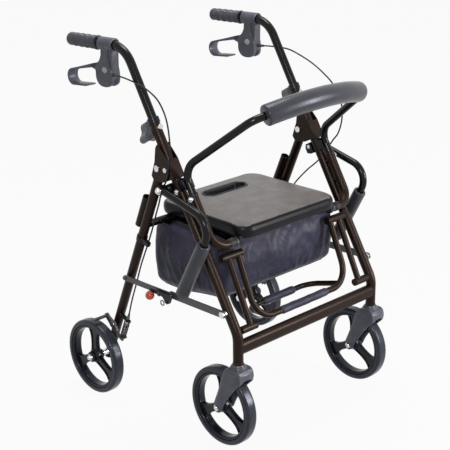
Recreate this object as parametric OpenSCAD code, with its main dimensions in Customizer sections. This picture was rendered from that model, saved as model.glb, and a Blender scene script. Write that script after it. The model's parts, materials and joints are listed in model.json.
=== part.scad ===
// Rollator that turns into a transport chair, drawn at full size in millimetres.
// X is across, +Y is the rear where the walking user stands, +Z is up and the floor is z = 0.
// Each piece is a module of its own, drawn in its place with the chair open for use.
// Left pieces are drawn at +X and the right ones are mirrored.

/* [Wheels] */
// diameter of all four wheels
wheel_d = 203.2; // [199:0.2:207]
// width of a tyre
tyre_w = 30; // [27:1:32]
// radial height of a tyre
tyre_h = 14; // [12:1:17]
// radial height of the rim under the tyre
rim_h = 8; // [6:1:11]
// diameter of a wheel hub
hub_d = 36; // [30:1:42]
// width of a wheel spoke at the hub
spoke_w = 26; // [20:1:32]
// width of a wheel spoke at the rim
spoke_tip_w = 40; // [34:1:46]
// distance of a rear wheel from the middle of the chair
rear_wheel_x = 298; // [297:1:304]
// distance from a caster stem back to its axle
caster_trail = 52; // [48:1:56]

/* [Front frame] */
// outside diameter of a front leg
leg_od = 25.4; // [25:0.1:26]
// distance of a front leg from the middle of the chair
leg_x = 245; // [240:1:250]
// place of the front legs along the chair
leg_y = -270.4; // [-280:0.2:-260]
// height of the bend in a front leg
leg_bend_z = 303; // [300:1:306]
// lean of a front leg above its bend, in degrees
leg_lean = 31; // [30:0.25:32]
// length of a front leg above its bend
leg_len = 547; // [540:1:556]
// radius of the bend in a front leg
leg_bend_r = 60; // [50:1:70]
// height of the foot of a front leg
foot_z = 236; // [235:0.5:240]
// height of the middle of the front crossbar
crossbar_z = 271; // [268:1:272]
// height of the front crossbar section
crossbar_h = 36; // [30:1:38]

/* [Handles] */
// outside diameter of a handle tube
handle_od = 22.2; // [21.6:0.1:22.4]
// length of handle tube inside the leg
handle_insert = 180; // [170:1:190]
// how far a handle can be lowered
handle_drop = 100; // [80:1:110]
// distance along the leg line from the leg bend to the handle bend
handle_bend_u = 740; // [730:1:750]
// radius of the handle bend
handle_bend_r = 75; // [65:1:80]
// fall of the grip towards its end, in degrees
grip_fall = 2.2; // [0:0.1:4]
// length of the rearward run of a handle tube
grip_run = 207; // [203:1:212]
// length of a hand grip
grip_len = 107; // [100:1:110]
// outside diameter of a hand grip
grip_od = 32; // [29:0.5:34]
// width of a brake lever
lever_w = 30; // [24:1:32]
// span of a height knob across its wings
knob_d = 58; // [50:1:60]

/* [Folding] */
// distance of the fold pivot below the top of the front leg
fold_gap = 107; // [104:1:110]
// distance of the fold pivot behind the front leg axis
fold_n = 28; // [27:0.5:30]
// lean of a rear leg, in degrees
rear_lean = 22.8; // [22:0.2:23.6]
// distance of a rear leg from the middle of the chair
rear_leg_x = 250; // [249.8:0.1:250.3]
// outside diameter of a rear leg
rear_leg_od = 24; // [23.4:0.1:24.2]
// thickness of the folding struts
strut_t = 4; // [3:0.1:4]
// place of the front strut pivot along the front leg
strut_u = 60; // [56:1:64]
// place of the rear strut pivot down the rear leg
strut_d = 347; // [343:1:351]
// share of the open span that the front strut takes
strut_share = 0.514; // [0.505:0.003:0.52]

/* [Seat] */
// half the seat width
seat_half_w = 172; // [165:1:174]
// length of the seat from front to rear
seat_len = 310; // [300:1:318]
// corner radius of the seat
seat_corner = 38; // [30:1:46]
// height of the seat board
seat_z = 512; // [511.8:0.1:514]
// thickness of the seat board
board_t = 6; // [5:0.5:7]
// thickness of the seat cushion in the middle
cushion_t = 24; // [20:1:28]
// length of the hand slot
slot_len = 138; // [124:1:150]
// width of the hand slot
slot_w = 38; // [30:1:42]

/* [Backrest] */
// outside diameter of the backrest and armrest tubes
back_od = 19; // [18.6:0.1:19.2]
// share of its socket that a backrest tube fills
back_share = 0.5; // [0.45:0.01:0.56]
// outside diameter of the backrest sockets
socket_od = 22; // [21.8:0.1:22.4]
// distance of the mouth of a front socket below the fold pivot
socket_gap = 94; // [90:1:98]
// distance of a front socket ahead of the leg axis
socket_off = 33; // [32:0.5:35]
// distance of the knee of the backrest below the fold pivot
knee_gap = 28; // [24:1:32]
// rise of the backrest above level, in degrees
back_rise = 37.9; // [36:0.2:40]
// distance from the knee to the middle of the backrest pad
back_reach = 272; // [265:1:280]
// radius of the arc of the backrest pad
pad_arc_r = 440; // [420:5:470]
// half the chord of the backrest pad
pad_half = 164; // [158:1:168]
// outside diameter of the backrest pad
pad_od = 51; // [46:1:54]

/* [Armrests] */
// distance of an armrest from the middle of the chair
arm_x = 280; // [279.6:0.1:281]
// length from the pivot to the armrest corner
arm_reach = 180; // [174:1:186]
// fall of the upper armrest tube, in degrees
arm_fall = 13.5; // [11:0.5:16]
// length of the padded armrest tube
arm_drop = 227; // [215:1:235]
// rake of the padded armrest tube, in degrees
arm_rake = 28.4; // [26:0.4:31]
// outside diameter of an armrest pad
arm_pad_od = 33; // [29:0.5:34]

/* [Footrest] */
// distance of the footrest links from the middle of the chair
link_x = 198; // [195:1:201]
// distance of the footrest frame sides from the middle of the chair
foot_x = 166; // [164:1:168]
// diameter of the footrest tubes
foot_od = 16; // [14:0.5:17]
// rearward reach of a footrest link
link_dy = 76; // [72:1:79]
// height of a footrest link
link_dz = 157; // [153:1:160]
// drop of the footrest frame below its pivot
foot_drop = 155; // [151:1:158]
// forward reach of the footrest frame
foot_ahead = 66; // [60:1:70]
// diameter of the cloth sleeves
sleeve_od = 21; // [19.5:0.5:23]

/* [Bag] */
// half the width of the bag
bag_half_w = 203; // [195:1:206]
// height of the top of the stored bag body
bag_top = 472; // [465:1:473]
// height of the bottom of the bag
bag_bottom = 322; // [316:1:330]

/* [Fits] */
// gap between pieces that are fixed together
seat_gap = 0.05; // [0.03:0.01:0.08]
// gap between pieces that turn or slide
run_gap = 0.35; // [0.31:0.01:0.4]

/* [Hidden] */
$fn = 48;

// colours
frame_paint = [0.33, 0.28, 0.25];
gloss_black = [0.06, 0.06, 0.07];
dark_plastic = [0.16, 0.16, 0.17];
grey_plastic = [0.36, 0.36, 0.38];
foam_grey = [0.42, 0.42, 0.44];
cloth_navy = [0.15, 0.18, 0.28];
bright_steel = [0.75, 0.75, 0.77];
ball_red = [0.85, 0.2, 0.1];

// half sizes
wheel_r = wheel_d / 2;
leg_r = leg_od / 2;
handle_r = handle_od / 2;
rear_leg_r = rear_leg_od / 2;
back_r = back_od / 2;
socket_r = socket_od / 2;
foot_r = foot_od / 2;

// directions along the front legs, the rear legs, the grips and the backrest
leg_up = [0, sin(leg_lean), cos(leg_lean)];
leg_back = [0, cos(leg_lean), -sin(leg_lean)];
rear_down = [0, sin(rear_lean), -cos(rear_lean)];
rear_back = [0, cos(rear_lean), sin(rear_lean)];
grip_dir = [0, cos(grip_fall), -sin(grip_fall)];
grip_up = [0, sin(grip_fall), cos(grip_fall)];
back_up = [0, -cos(back_rise), sin(back_rise)];
back_normal = [0, -sin(back_rise), -cos(back_rise)];
across = [1, 0, 0];

// points on the frame, u up the front leg and n behind it, d down the rear leg and n behind it
function leg_pt(x, u, n) = [x, leg_y, leg_bend_z] + u * leg_up + n * leg_back;
fold_u = leg_len - fold_gap;
fold_pivot = leg_pt(0, fold_u, fold_n);
function rear_pt(x, d, n) = fold_pivot + [x, 0, 0] + d * rear_down + n * rear_back;

// pivots and places that several pieces share
pin_r = 5;
axle_r = 6;
caster_axle_r = 5;
strut_pin_r = 4;
rear_axle_d = (fold_pivot.z - wheel_r) / cos(rear_lean);
rear_axle = rear_pt(0, rear_axle_d, 0);
caster_axle = [leg_x, leg_y + caster_trail, wheel_r];
handle_bend = leg_pt(leg_x, handle_bend_u, 0);
bore_len = handle_insert + handle_drop + 8;
knob_u = leg_len - 20;
knob_screw_r = 3.9;
socket_x = leg_x - 3;
socket_low_u = 210;
socket_u = fold_u - socket_gap;
knee_u = fold_u - knee_gap;
back_insert = back_share * (socket_u - socket_low_u);
seat_hinge = leg_pt(0, socket_low_u, -socket_off);
seat_pin_r = 6;
bush_x = seat_half_w + 3;
lug_x = seat_half_w - 14;
lug_t = 12;
arm_u = fold_u - 54;
arm_n = 22.5;
arm_pivot = leg_pt(arm_x, arm_u, arm_n);
arm_corner = arm_pivot + arm_reach * [0, -cos(arm_fall), -sin(arm_fall)];
arm_end = arm_corner + arm_drop * [0, sin(arm_rake), -cos(arm_rake)];
block_out = leg_x + 17;
block_in = leg_x - 12;
foot_pivot = [0, leg_y + 4, leg_bend_z + 8];
link_top = foot_pivot + [0, link_dy, link_dz];
foot_bar = link_top + [0, -foot_ahead, -foot_drop];
foot_pin_r = 6;
foot_lap = 180;
seat_front = seat_hinge.y - 25;
seat_rear = seat_front + seat_len;
slot_y = seat_front + 242;
rail_r = 9.5;
rail_d = (fold_pivot.z - (seat_z - run_gap - rail_r)) / cos(rear_lean);
plate_t = 2.5;
bracket_out = rear_leg_x + 15.5;
bracket_in = leg_x - 16;
strut_x = rear_leg_x + rear_leg_r + run_gap;
strut_x2 = strut_x + strut_t + 0.5;
strut_front = leg_pt(0, strut_u, 0);
strut_rear = rear_pt(0, strut_d, 0);
strut_mid = strut_front + strut_share * (strut_rear - strut_front);
latch_x = strut_x2 + strut_t + 2.8;
latch_pivot = strut_mid + [0, 30, 0];
ball_r = 11.5;
ball_at = [latch_x + 11, strut_mid.y + 58, strut_mid.z - 13];
brake_d = rear_axle_d - 102;
arm_plate_x = rear_leg_x + rear_leg_r + 2;
spring_n = -41;
spring_top = brake_d - 42;
spring_low = brake_d + 10;
cable_r = 2;
bush_r = 10.6;
bush_len = 46;
stem_r = 6;
stem_len = 40;
collar_top = foot_z - 5;

// a bend is a hair thicker than its straight tubes, which run a little way into it
bend_swell = 0.06;
bend_lap = 0.8;

// basic shapes
function way(a, b) = (b - a) / norm(b - a);
module frame_at(o, ex, ey, ez) {
  multmatrix([
    [ex.x, ey.x, ez.x, o.x],
    [ex.y, ey.y, ez.y, o.y],
    [ex.z, ey.z, ez.z, o.z],
    [0, 0, 0, 1]
  ]) children();
}
module rod(a, b, r) {
  v = b - a;
  translate(a) rotate([0, acos(v.z / norm(v)), atan2(v.y, v.x)]) cylinder(r = r, h = norm(v));
}
module bar_x(x0, x1, y, z, r) {
  translate([x0, y, z]) rotate([0, 90, 0]) cylinder(r = r, h = x1 - x0);
}
function turn_at(p, i) = acos(way(p[i - 1], p[i]) * way(p[i], p[i + 1]));
function setback(p, i, bend) = (i == 0 || i == len(p) - 1) ? 0 : bend * tan(turn_at(p, i) / 2);
module elbow(a, b, c, bend, r) {
  d1 = way(a, b);
  d2 = way(b, c);
  turn = acos(d1 * d2);
  normal = cross(d1, d2) / norm(cross(d1, d2));
  inward = cross(normal, d1);
  start = b - d1 * bend * tan(turn / 2);
  frame_at(start + inward * bend, -inward, d1, normal)
    rotate_extrude(angle = turn) translate([bend, 0]) circle(r = r + bend_swell);
}
module bent_rod(p, bend, r) {
  for (i = [0 : len(p) - 2]) {
    w = way(p[i], p[i + 1]);
    a = i == 0 ? 0 : setback(p, i, bend) - bend_lap;
    b = i == len(p) - 2 ? 0 : setback(p, i + 1, bend) - bend_lap;
    rod(p[i] + w * a, p[i + 1] - w * b, r);
  }
  for (i = [1 : len(p) - 2]) elbow(p[i - 1], p[i], p[i + 1], bend, r);
}
module both() {
  children();
  mirror([1, 0, 0]) children();
}
module right() {
  mirror([1, 0, 0]) children();
}
// plates drawn in the front leg's (u, n), the rear leg's (d, n), the grip's (s, h) and in (y, z)
module leg_plate(x_out, t) {
  frame_at([x_out, leg_y, leg_bend_z], leg_up, leg_back, -across) linear_extrude(t) children();
}
module rear_plate(x_in, t) {
  frame_at(fold_pivot + [x_in, 0, 0], rear_down, rear_back, across) linear_extrude(t) children();
}
module grip_plate(x_in, t) {
  frame_at([x_in, handle_bend.y, handle_bend.z], grip_dir, grip_up, across) linear_extrude(t) children();
}
module yz_plate(x_in, t) {
  frame_at([x_in, 0, 0], [0, 1, 0], [0, 0, 1], across) linear_extrude(t) children();
}
// a flat bar with round ends between two points of a side view
module flat_link(a, b, x_in, t, h) {
  ex = way([0, a.y, a.z], [0, b.y, b.z]);
  ey = cross(across, ex);
  reach = norm([0, b.y - a.y, b.z - a.z]);
  frame_at([x_in, a.y, a.z], ex, ey, across) linear_extrude(t) {
    circle(r = h / 2);
    translate([reach, 0]) circle(r = h / 2);
    translate([0, -h / 2]) square([reach, h]);
  }
}
// a round roll with rounded ends, standing on z = 0
module roll(len, r, bore, edge) {
  rotate_extrude() difference() {
    union() {
      square([r - edge, len]);
      translate([0, edge]) square([r, len - 2 * edge]);
      translate([r - edge, edge]) circle(r = edge);
      translate([r - edge, len - edge]) circle(r = edge);
    }
    translate([-1, -1]) square([bore + 1, len + 2]);
  }
}
module dome(x0, y, z, r, h) {
  bar_x(x0, x0 + h, y, z, r);
  difference() {
    translate([x0 + h, y, z]) sphere(r = r * 0.8);
    translate([x0 - 2 * r, y - r, z - r]) cube([2 * r, 2 * r, 2 * r]);
  }
}
// a cord or wire along a list of points, with the given reference direction for its rings
function smooth(p, steps) = [
  for (i = [0 : len(p) - 2], k = [0 : steps - 1])
    let (a = p[max(i - 1, 0)], b = p[i], c = p[i + 1], d = p[min(i + 2, len(p) - 1)], t = k / steps)
      b + 0.5 * t * ((c - a) + t * (2 * a - 5 * b + 4 * c - d) + t * t * (3 * b - a - 3 * c + d)),
  p[len(p) - 1]
];
module sweep(p, r, sides, ref) {
  n = len(p);
  rings = [
    for (i = [0 : n - 1])
      let (
        t = way(p[max(i - 1, 0)], p[min(i + 1, n - 1)]),
        s = way([0, 0, 0], cross(t, ref)),
        q = cross(s, t)
      )
        for (k = [0 : sides - 1]) p[i] + r * (cos(360 * k / sides) * s + sin(360 * k / sides) * q)
  ];
  walls = [
    for (i = [0 : n - 2], k = [0 : sides - 1], half = [0, 1])
      let (a = i * sides + k, b = i * sides + (k + 1) % sides)
        half == 0 ? [a, b, b + sides] : [a, b + sides, a + sides]
  ];
  start_cap = [for (k = [0 : sides - 1]) sides - 1 - k];
  end_cap = [for (k = [0 : sides - 1]) (n - 1) * sides + k];
  polyhedron(points = rings, faces = concat(walls, [start_cap, end_cap]), convexity = 8);
}

// front legs
module leg_tube() {
  foot = [leg_x, leg_y, foot_z];
  bend = [leg_x, leg_y, leg_bend_z];
  difference() {
    bent_rod([foot, bend, leg_pt(leg_x, leg_len, 0)], leg_bend_r, leg_r);
    rod(leg_pt(leg_x, leg_len - bore_len, 0), leg_pt(leg_x, leg_len + 1, 0), handle_r + run_gap);
    translate(foot - [0, 0, 1]) cylinder(r = bush_r + seat_gap, h = bush_len + 1);
    rod(leg_pt(leg_x, knob_u, 0), leg_pt(leg_x, knob_u, leg_r + 2), knob_screw_r + run_gap);
  }
}
module front_leg_left() color(frame_paint) leg_tube();
module front_leg_right() color(frame_paint) right() leg_tube();

module front_crossbar() color(frame_paint) {
  bar_r = leg_r - 0.2;
  rise = crossbar_h / 2 - bar_r;
  difference() {
    yz_plate(-leg_x, 2 * leg_x) {
      translate([leg_y, crossbar_z - rise]) circle(r = bar_r);
      translate([leg_y, crossbar_z + rise]) circle(r = bar_r);
      translate([leg_y - bar_r, crossbar_z - rise]) square([2 * bar_r, 2 * rise]);
    }
    both() translate([leg_x, leg_y, crossbar_z - crossbar_h]) {
      cylinder(r = leg_r + bend_swell + seat_gap, h = 2 * crossbar_h);
      translate([0, -2 * leg_r, 0]) cube([2 * leg_r, 4 * leg_r, 2 * crossbar_h]);
    }
  }
}

// sockets that hold the backrest at the front, turning in to the seat hinge
module front_sockets() color(frame_paint) both() {
  mouth = leg_pt(socket_x, socket_u, -socket_off);
  low = leg_pt(socket_x, socket_low_u, -socket_off);
  inner = leg_pt(bush_x, socket_low_u, -socket_off);
  difference() {
    union() {
      bent_rod([mouth, low, inner], 40, socket_r);
      for (u = [socket_u - 70, socket_u - 16])
        rod(leg_pt(socket_x, u, -leg_r - seat_gap), leg_pt(socket_x, u, -socket_off), 6);
    }
    rod(leg_pt(socket_x, socket_u - back_insert - 0.5, -socket_off), mouth + leg_up, back_r + run_gap);
  }
}

// brackets that join the rear legs to the front legs
module folding_brackets() color(frame_paint) both() {
  web = leg_r + seat_gap;
  low_u = fold_u - 42;
  difference() {
    union() {
      for (x = [bracket_out, bracket_in + plate_t]) leg_plate(x, plate_t) polygon([
        [low_u, -web - plate_t], [fold_u + 6, -web - plate_t], [fold_u + 50, -4], [fold_u + 46, 6],
        [fold_u + 18, fold_n], [fold_u - 8, fold_n + 30], [fold_u - 24, fold_n + 28], [fold_u - 38, fold_n - 4]
      ]);
      leg_plate(bracket_out, bracket_out - bracket_in)
        translate([low_u, -web - plate_t]) square([48, plate_t]);
    }
    bar_x(bracket_in - 1, bracket_out + 1, fold_pivot.y, fold_pivot.z, pin_r + run_gap);
  }
}

module armrest_blocks() color(dark_plastic) both() difference() {
  face = leg_r + seat_gap;
  leg_plate(block_out, block_out - block_in) polygon([
    [arm_u - 20, face], [arm_u + 9, face], [arm_u + 9, arm_n + 6], [arm_u, arm_n + 12],
    [arm_u - 14, arm_n + 12], [arm_u - 20, arm_n]
  ]);
  bar_x(block_in - 1, block_out + 1, arm_pivot.y, arm_pivot.z, pin_r + seat_gap);
}

// bolts, nuts and pivot pins that stay with the front frame
module frame_bolts() color(bright_steel) both() {
  side = leg_x + leg_r + seat_gap;
  // strut bolt with its spacer
  bar_x(side, strut_x - run_gap, strut_front.y, strut_front.z, 8);
  bar_x(side, strut_x + strut_t + run_gap, strut_front.y, strut_front.z, strut_pin_r);
  bar_x(strut_x + strut_t + run_gap, strut_x + strut_t + 3.5, strut_front.y, strut_front.z, 8);
  // armrest pin
  bar_x(block_in, arm_x + 10.2, arm_pivot.y, arm_pivot.z, pin_r);
  dome(arm_x + 10.2, arm_pivot.y, arm_pivot.z, 9, 2.5);
  // dome nut on the socket and bolt head on the leg
  nut = leg_pt(0, socket_u - 8, -socket_off);
  dome(socket_x + socket_r + seat_gap, nut.y, nut.z, 7, 3);
  head = leg_pt(0, arm_u - 17, 0);
  dome(side, head.y, head.z, 6.5, 2.5);
  // bolt head that holds the bracket
  clamp = leg_pt(0, fold_u - 14, 2);
  bar_x(bracket_out + seat_gap, bracket_out + 3, clamp.y, clamp.z, 6);
  // bolt head ahead of the height knob
  rod(leg_pt(leg_x, knob_u, -leg_r - 5), leg_pt(leg_x, knob_u, -leg_r - seat_gap), 6.5);
}

// plugs in the sockets that carry the seat hinge pins
module seat_bushes() color(grey_plastic) both() {
  bar_x(bush_x - 4, bush_x - seat_gap, seat_hinge.y, seat_hinge.z, socket_r);
  bar_x(lug_x - 3, bush_x - 4, seat_hinge.y, seat_hinge.z, seat_pin_r);
}

module carry_bag() color(cloth_navy) {
  front = leg_y + 98;
  rear = front + 253;
  sag = 34;
  yz_plate(-bag_half_w, 2 * bag_half_w) {
    polygon([
      [front, bag_bottom + sag], [front + 20, bag_bottom + sag - 10], [rear - 70, bag_bottom],
      [rear - sag, bag_bottom], [rear, bag_bottom + sag], [rear, bag_top], [front, bag_top]
    ]);
    translate([rear - sag, bag_bottom + sag]) circle(r = sag);
  }
  // tabs that hang the bag from the inner ends of the sockets
  hook = seat_hinge + (socket_r + 0.3) * [0, cos(40), -sin(40)];
  both() yz_plate(bush_x + 5, 16) polygon([
    [front, bag_top - 4], [front + 6, bag_top - 4], [hook.y + 5, hook.z + 1], [hook.y, hook.z]
  ]);
}

module leg_collars() color(dark_plastic) both()
  frame_at(leg_pt(leg_x, leg_len, 0), across, cross(leg_up, across), leg_up) difference() {
    translate([0, 0, -6]) cylinder(r = leg_r + 2.3, h = 14);
    translate([0, 0, -7]) cylinder(r = leg_r + seat_gap, h = 7 + seat_gap);
    translate([0, 0, -7]) cylinder(r = handle_r + run_gap, h = 20);
  }

// saddles that steady the backrest tube against the leg
module backrest_saddles() color(dark_plastic) both() {
  face = leg_r + seat_gap;
  low_u = socket_u + 18;
  leg_plate(socket_x + 15, 30)
    translate([low_u, -socket_off + back_r + run_gap]) square([30, socket_off - back_r - run_gap - face]);
  for (x = [socket_x + 15, socket_x - back_r - 2])
    leg_plate(x, 13 - back_r) translate([low_u, -socket_off]) square([24, socket_off - face]);
}

module caster_bushes() color(dark_plastic) both() translate([leg_x, leg_y, 0]) difference() {
  union() {
    translate([0, 0, foot_z - 4]) cylinder(r = leg_r + 0.5, h = 4 - seat_gap);
    translate([0, 0, foot_z - 4]) cylinder(r = bush_r, h = bush_len + 3);
  }
  translate([0, 0, foot_z - 5]) cylinder(r = stem_r + run_gap, h = stem_len + 6);
}

module footrest_pivots() color(frame_paint) both() {
  tip = foot_lap + 1;
  bar_x(tip, leg_x - leg_r - seat_gap, foot_pivot.y, foot_pivot.z, foot_pin_r);
  bar_x(tip, tip + 3, foot_pivot.y, foot_pivot.z, 9.5);
}

// brake cables from the brake bodies down to the folding brackets
lever_s = 82;
lever_h = -69;
cable_start_y = handle_bend.y + 36.85;
cable_start_z = handle_bend.z - 74;
cable_out = bracket_out + cable_r + 0.4;
function from_leg(x, dy, z) = [x, leg_y + 263 + dy, z];
cable_right = [
  [-250, cable_start_y, cable_start_z], [-257, cable_start_y - 44, cable_start_z + 1],
  from_leg(-262, 63, 861), from_leg(-263, 26, 854), from_leg(-262, -14, 835), from_leg(-262, -38, 808),
  from_leg(-262, -51, 776), from_leg(-263, -58, 735), from_leg(-265, -61, 708),
  from_leg(-cable_out, -59, 686), from_leg(-cable_out, -54, 664)
];
cable_left = [
  [250, cable_start_y, cable_start_z], [257, cable_start_y - 44, cable_start_z + 3],
  from_leg(261, 60, 866), from_leg(260, 20, 858), from_leg(257, -30, 843), from_leg(252, -75, 824),
  from_leg(249, -112, 801), from_leg(248, -138, 768), from_leg(249, -146, 734), from_leg(253, -140, 700),
  from_leg(259, -124, 668), from_leg(263, -104, 646), from_leg(263.5, -88, 622)
];
module brake_cables_upper() color(dark_plastic) {
  sweep(smooth(cable_right, 3), cable_r, 8, across);
  sweep(smooth(cable_left, 3), cable_r, 8, across);
}

// handles
module handle_tube() {
  bent_rod([
    leg_pt(leg_x, leg_len - handle_insert, 0), handle_bend, handle_bend + grip_run * grip_dir
  ], handle_bend_r, handle_r);
}
module handle_tube_left() color(gloss_black) handle_tube();
module handle_tube_right() color(gloss_black) right() handle_tube();

module on_grip(s) {
  frame_at(handle_bend + s * grip_dir, across, cross(grip_dir, across), grip_dir) children();
}
module hand_grip() on_grip(grip_run - grip_len) {
  core_r = grip_od / 2 - 1;
  difference() {
    union() {
      cylinder(r = core_r, h = grip_len + 5);
      for (i = [0 : 9]) translate([0, 0, 4 + i * grip_len / 10]) cylinder(r = grip_od / 2, h = grip_len / 20);
    }
    translate([0, 0, -1]) cylinder(r = handle_r + seat_gap, h = grip_len + 1 + seat_gap);
  }
}
module hand_grip_left() color(gloss_black) hand_grip();
module hand_grip_right() color(gloss_black) right() hand_grip();

// brake bodies with a slot for the lever and its pin
lever_pin_r = 3;
tongue_t = 10;
module brake_body() {
  body_t = 28;
  difference() {
    union() {
      on_grip(36) cylinder(r = handle_r + 5.5, h = 54);
      grip_plate(leg_x - body_t / 2, body_t) {
        polygon([
          [40, -8], [78, -8], [78, -26], [86, -41], [98, -49], [103, -58], [103, -86], [95, -99],
          [82, -105], [58, -105], [45, -97], [40, -86], [40, -50], [38, -25]
        ]);
      }
    }
    on_grip(30) cylinder(r = handle_r + bend_swell + seat_gap, h = 70);
    // flared mouth, clear of the tube's bend
    on_grip(30) cylinder(r1 = handle_r + bend_swell + 1.4, r2 = handle_r + bend_swell + seat_gap, h = 18);
    grip_plate(leg_x - tongue_t / 2 - run_gap, tongue_t + 2 * run_gap) {
      translate([lever_s, lever_h]) circle(r = 11);
      polygon([[lever_s, lever_h - 11], [lever_s + 60, lever_h - 26], [lever_s + 60, lever_h + 40],
        [lever_s + 8, lever_h + 22], [lever_s - 11, lever_h]]);
    }
  }
  grip_plate(leg_x - tongue_t / 2 - 1, tongue_t + 2) translate([lever_s, lever_h]) circle(r = lever_pin_r);
}
module brake_body_left() color(dark_plastic) brake_body();
module brake_body_right() color(dark_plastic) right() brake_body();

module brake_lever() {
  strip = 4;
  loop_r = 21.5;
  end_s = 198.1;
  end_h = -93;
  front_s = 118;
  front_h = -53;
  free_s = 143;
  free_h = -107;
  grip_plate(leg_x - lever_w / 2, lever_w) {
    polygon([[front_s, front_h], [end_s, end_h + loop_r], [end_s, end_h + loop_r - strip],
      [front_s, front_h - strip]]);
    translate([end_s, end_h]) difference() {
      circle(r = loop_r);
      circle(r = loop_r - strip);
      translate([-2 * loop_r, -2 * loop_r]) square([2 * loop_r, 4 * loop_r]);
    }
    polygon([[end_s, end_h - loop_r + strip], [free_s, free_h], [free_s, free_h - strip],
      [end_s, end_h - loop_r]]);
  }
  difference() {
    grip_plate(leg_x - tongue_t / 2, tongue_t) {
      translate([lever_s, lever_h]) circle(r = 9);
      polygon([[lever_s - 2, lever_h + 9], [front_s + 12, front_h - 3], [front_s + 12, front_h - 9],
        [lever_s, lever_h - 9]]);
    }
    grip_plate(leg_x - tongue_t, 2 * tongue_t)
      translate([lever_s, lever_h]) circle(r = lever_pin_r + run_gap);
  }
}
module brake_lever_left() color(gloss_black) brake_lever();
module brake_lever_right() color(gloss_black) right() brake_lever();

module height_knob() {
  wing_r = 6;
  rod(leg_pt(leg_x, knob_u, handle_r + 2 * run_gap), leg_pt(leg_x, knob_u, leg_r + 2), knob_screw_r);
  frame_at(leg_pt(leg_x, knob_u, leg_r + run_gap), across, -leg_up, leg_back) {
    cylinder(r = 11, h = 8);
    translate([0, 0, 8]) linear_extrude(24) {
      circle(r = 13);
      for (a = [30, 150, 270]) rotate(a) {
        translate([0, -wing_r]) square([knob_d / 2 - wing_r, 2 * wing_r]);
        translate([knob_d / 2 - wing_r, 0]) circle(r = wing_r);
      }
    }
  }
}
module height_knob_left() color(grey_plastic) height_knob();
module height_knob_right() color(grey_plastic) right() height_knob();

// backrest, drawn in a plane with w along the rise from the knee
knee = leg_pt(0, knee_u, -socket_off);
pad_mid_w = back_reach - pad_arc_r;
pad_angle = asin(pad_half / pad_arc_r);
pad_end_w = pad_mid_w + pad_arc_r * cos(pad_angle);
corner_out = 34;
corner_x = pad_half + corner_out * cos(pad_angle);
corner_w = pad_end_w - corner_out * sin(pad_angle);
module pad_arc(r, half_angle) {
  frame_at(knee + pad_mid_w * back_up, across, back_up, -back_normal)
    rotate([0, 0, 90 - half_angle]) rotate_extrude(angle = 2 * half_angle)
      translate([pad_arc_r, 0]) circle(r = r);
}
module backrest_tube() color(gloss_black) {
  pad_arc(back_r + bend_swell, pad_angle);
  both() {
    low = leg_pt(socket_x, socket_u - back_insert, -socket_off);
    turn = knee + [socket_x, 0, 0];
    corner = knee + [corner_x, 0, 0] + corner_w * back_up;
    end = knee + [pad_half, 0, 0] + pad_end_w * back_up;
    d1 = way(turn, corner);
    d2 = way(corner, end);
    back2 = 36 * tan(acos(d1 * d2) / 2);
    back1 = 45 * tan(acos(leg_up * d1) / 2);
    rod(low, turn - leg_up * (back1 - bend_lap), back_r);
    elbow(low, turn, corner, 45, back_r);
    rod(turn + d1 * (back1 - bend_lap), corner - d1 * (back2 - bend_lap), back_r);
    elbow(turn, corner, end, 36, back_r);
    rod(corner + d2 * (back2 - bend_lap), end + d2 * bend_lap, back_r);
  }
}
module backrest_pad() color(foam_grey) difference() {
  pad_arc(pad_od / 2, pad_angle - 0.3);
  pad_arc(back_r + bend_swell + 2 * seat_gap, pad_angle + 1);
}

// armrests
module armrest_tube() difference() {
  union() {
    bent_rod([arm_pivot, arm_corner, arm_end], 46, back_r);
    bar_x(arm_x - back_r + 0.6, arm_x + back_r - 0.6, arm_pivot.y, arm_pivot.z, 12);
  }
  bar_x(arm_x - 20, arm_x + 20, arm_pivot.y, arm_pivot.z, pin_r + run_gap);
}
module armrest_tube_left() color(gloss_black) armrest_tube();
module armrest_tube_right() color(gloss_black) right() armrest_tube();

module armrest_pad() {
  dir = way(arm_corner, arm_end);
  start = 66;
  frame_at(arm_corner + start * dir, across, cross(dir, across), dir) difference() {
    roll(arm_drop - start + 8, arm_pad_od / 2, 0, 6);
    translate([0, 0, -1]) cylinder(r = back_r + seat_gap, h = arm_drop - start + 1 + seat_gap);
  }
}
module armrest_pad_left() color(foam_grey) armrest_pad();
module armrest_pad_right() color(foam_grey) right() armrest_pad();

// footrest
module footrest_links() color(frame_paint) both() difference() {
  union() {
    bar_x(foot_lap + 5, leg_x - leg_r - 1, foot_pivot.y, foot_pivot.z, 9.5);
    rod(foot_pivot + [link_x, 0, 0], link_top + [link_x, 0, 0], foot_r);
    bar_x(foot_lap, link_x + 20, link_top.y, link_top.z, 10);
  }
  bar_x(foot_lap - 5, leg_x, foot_pivot.y, foot_pivot.z, foot_pin_r + run_gap);
  bar_x(foot_lap - 5, leg_x, link_top.y, link_top.z, foot_pin_r + run_gap);
}
heel_bar = foot_bar + [0, 89, -13];
heel_r = foot_r - 1;
module footrest_frame() color(frame_paint) {
  bent_rod([
    link_top + [foot_x, 0, 0], foot_bar + [foot_x, 0, 0], foot_bar - [foot_x, 0, 0], link_top - [foot_x, 0, 0]
  ], 57, foot_r);
  bent_rod([
    foot_bar + [136, 3, 6], heel_bar + [112, 0, 0], heel_bar - [112, 0, 0], foot_bar + [-136, 3, 6]
  ], 45, heel_r);
  both() {
    bar_x(foot_x - 11, foot_lap - 0.6, link_top.y, link_top.z, 10);
    bar_x(foot_x, link_x + 20.5, link_top.y, link_top.z, foot_pin_r);
    bar_x(link_x + 20.5, link_x + 24, link_top.y, link_top.z, 9);
  }
}
module sleeve(at, half, tube_r) difference() {
  bar_x(-half, half, at.y, at.z, sleeve_od / 2);
  bar_x(-half - 1, half + 1, at.y, at.z, tube_r + seat_gap);
}
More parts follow.
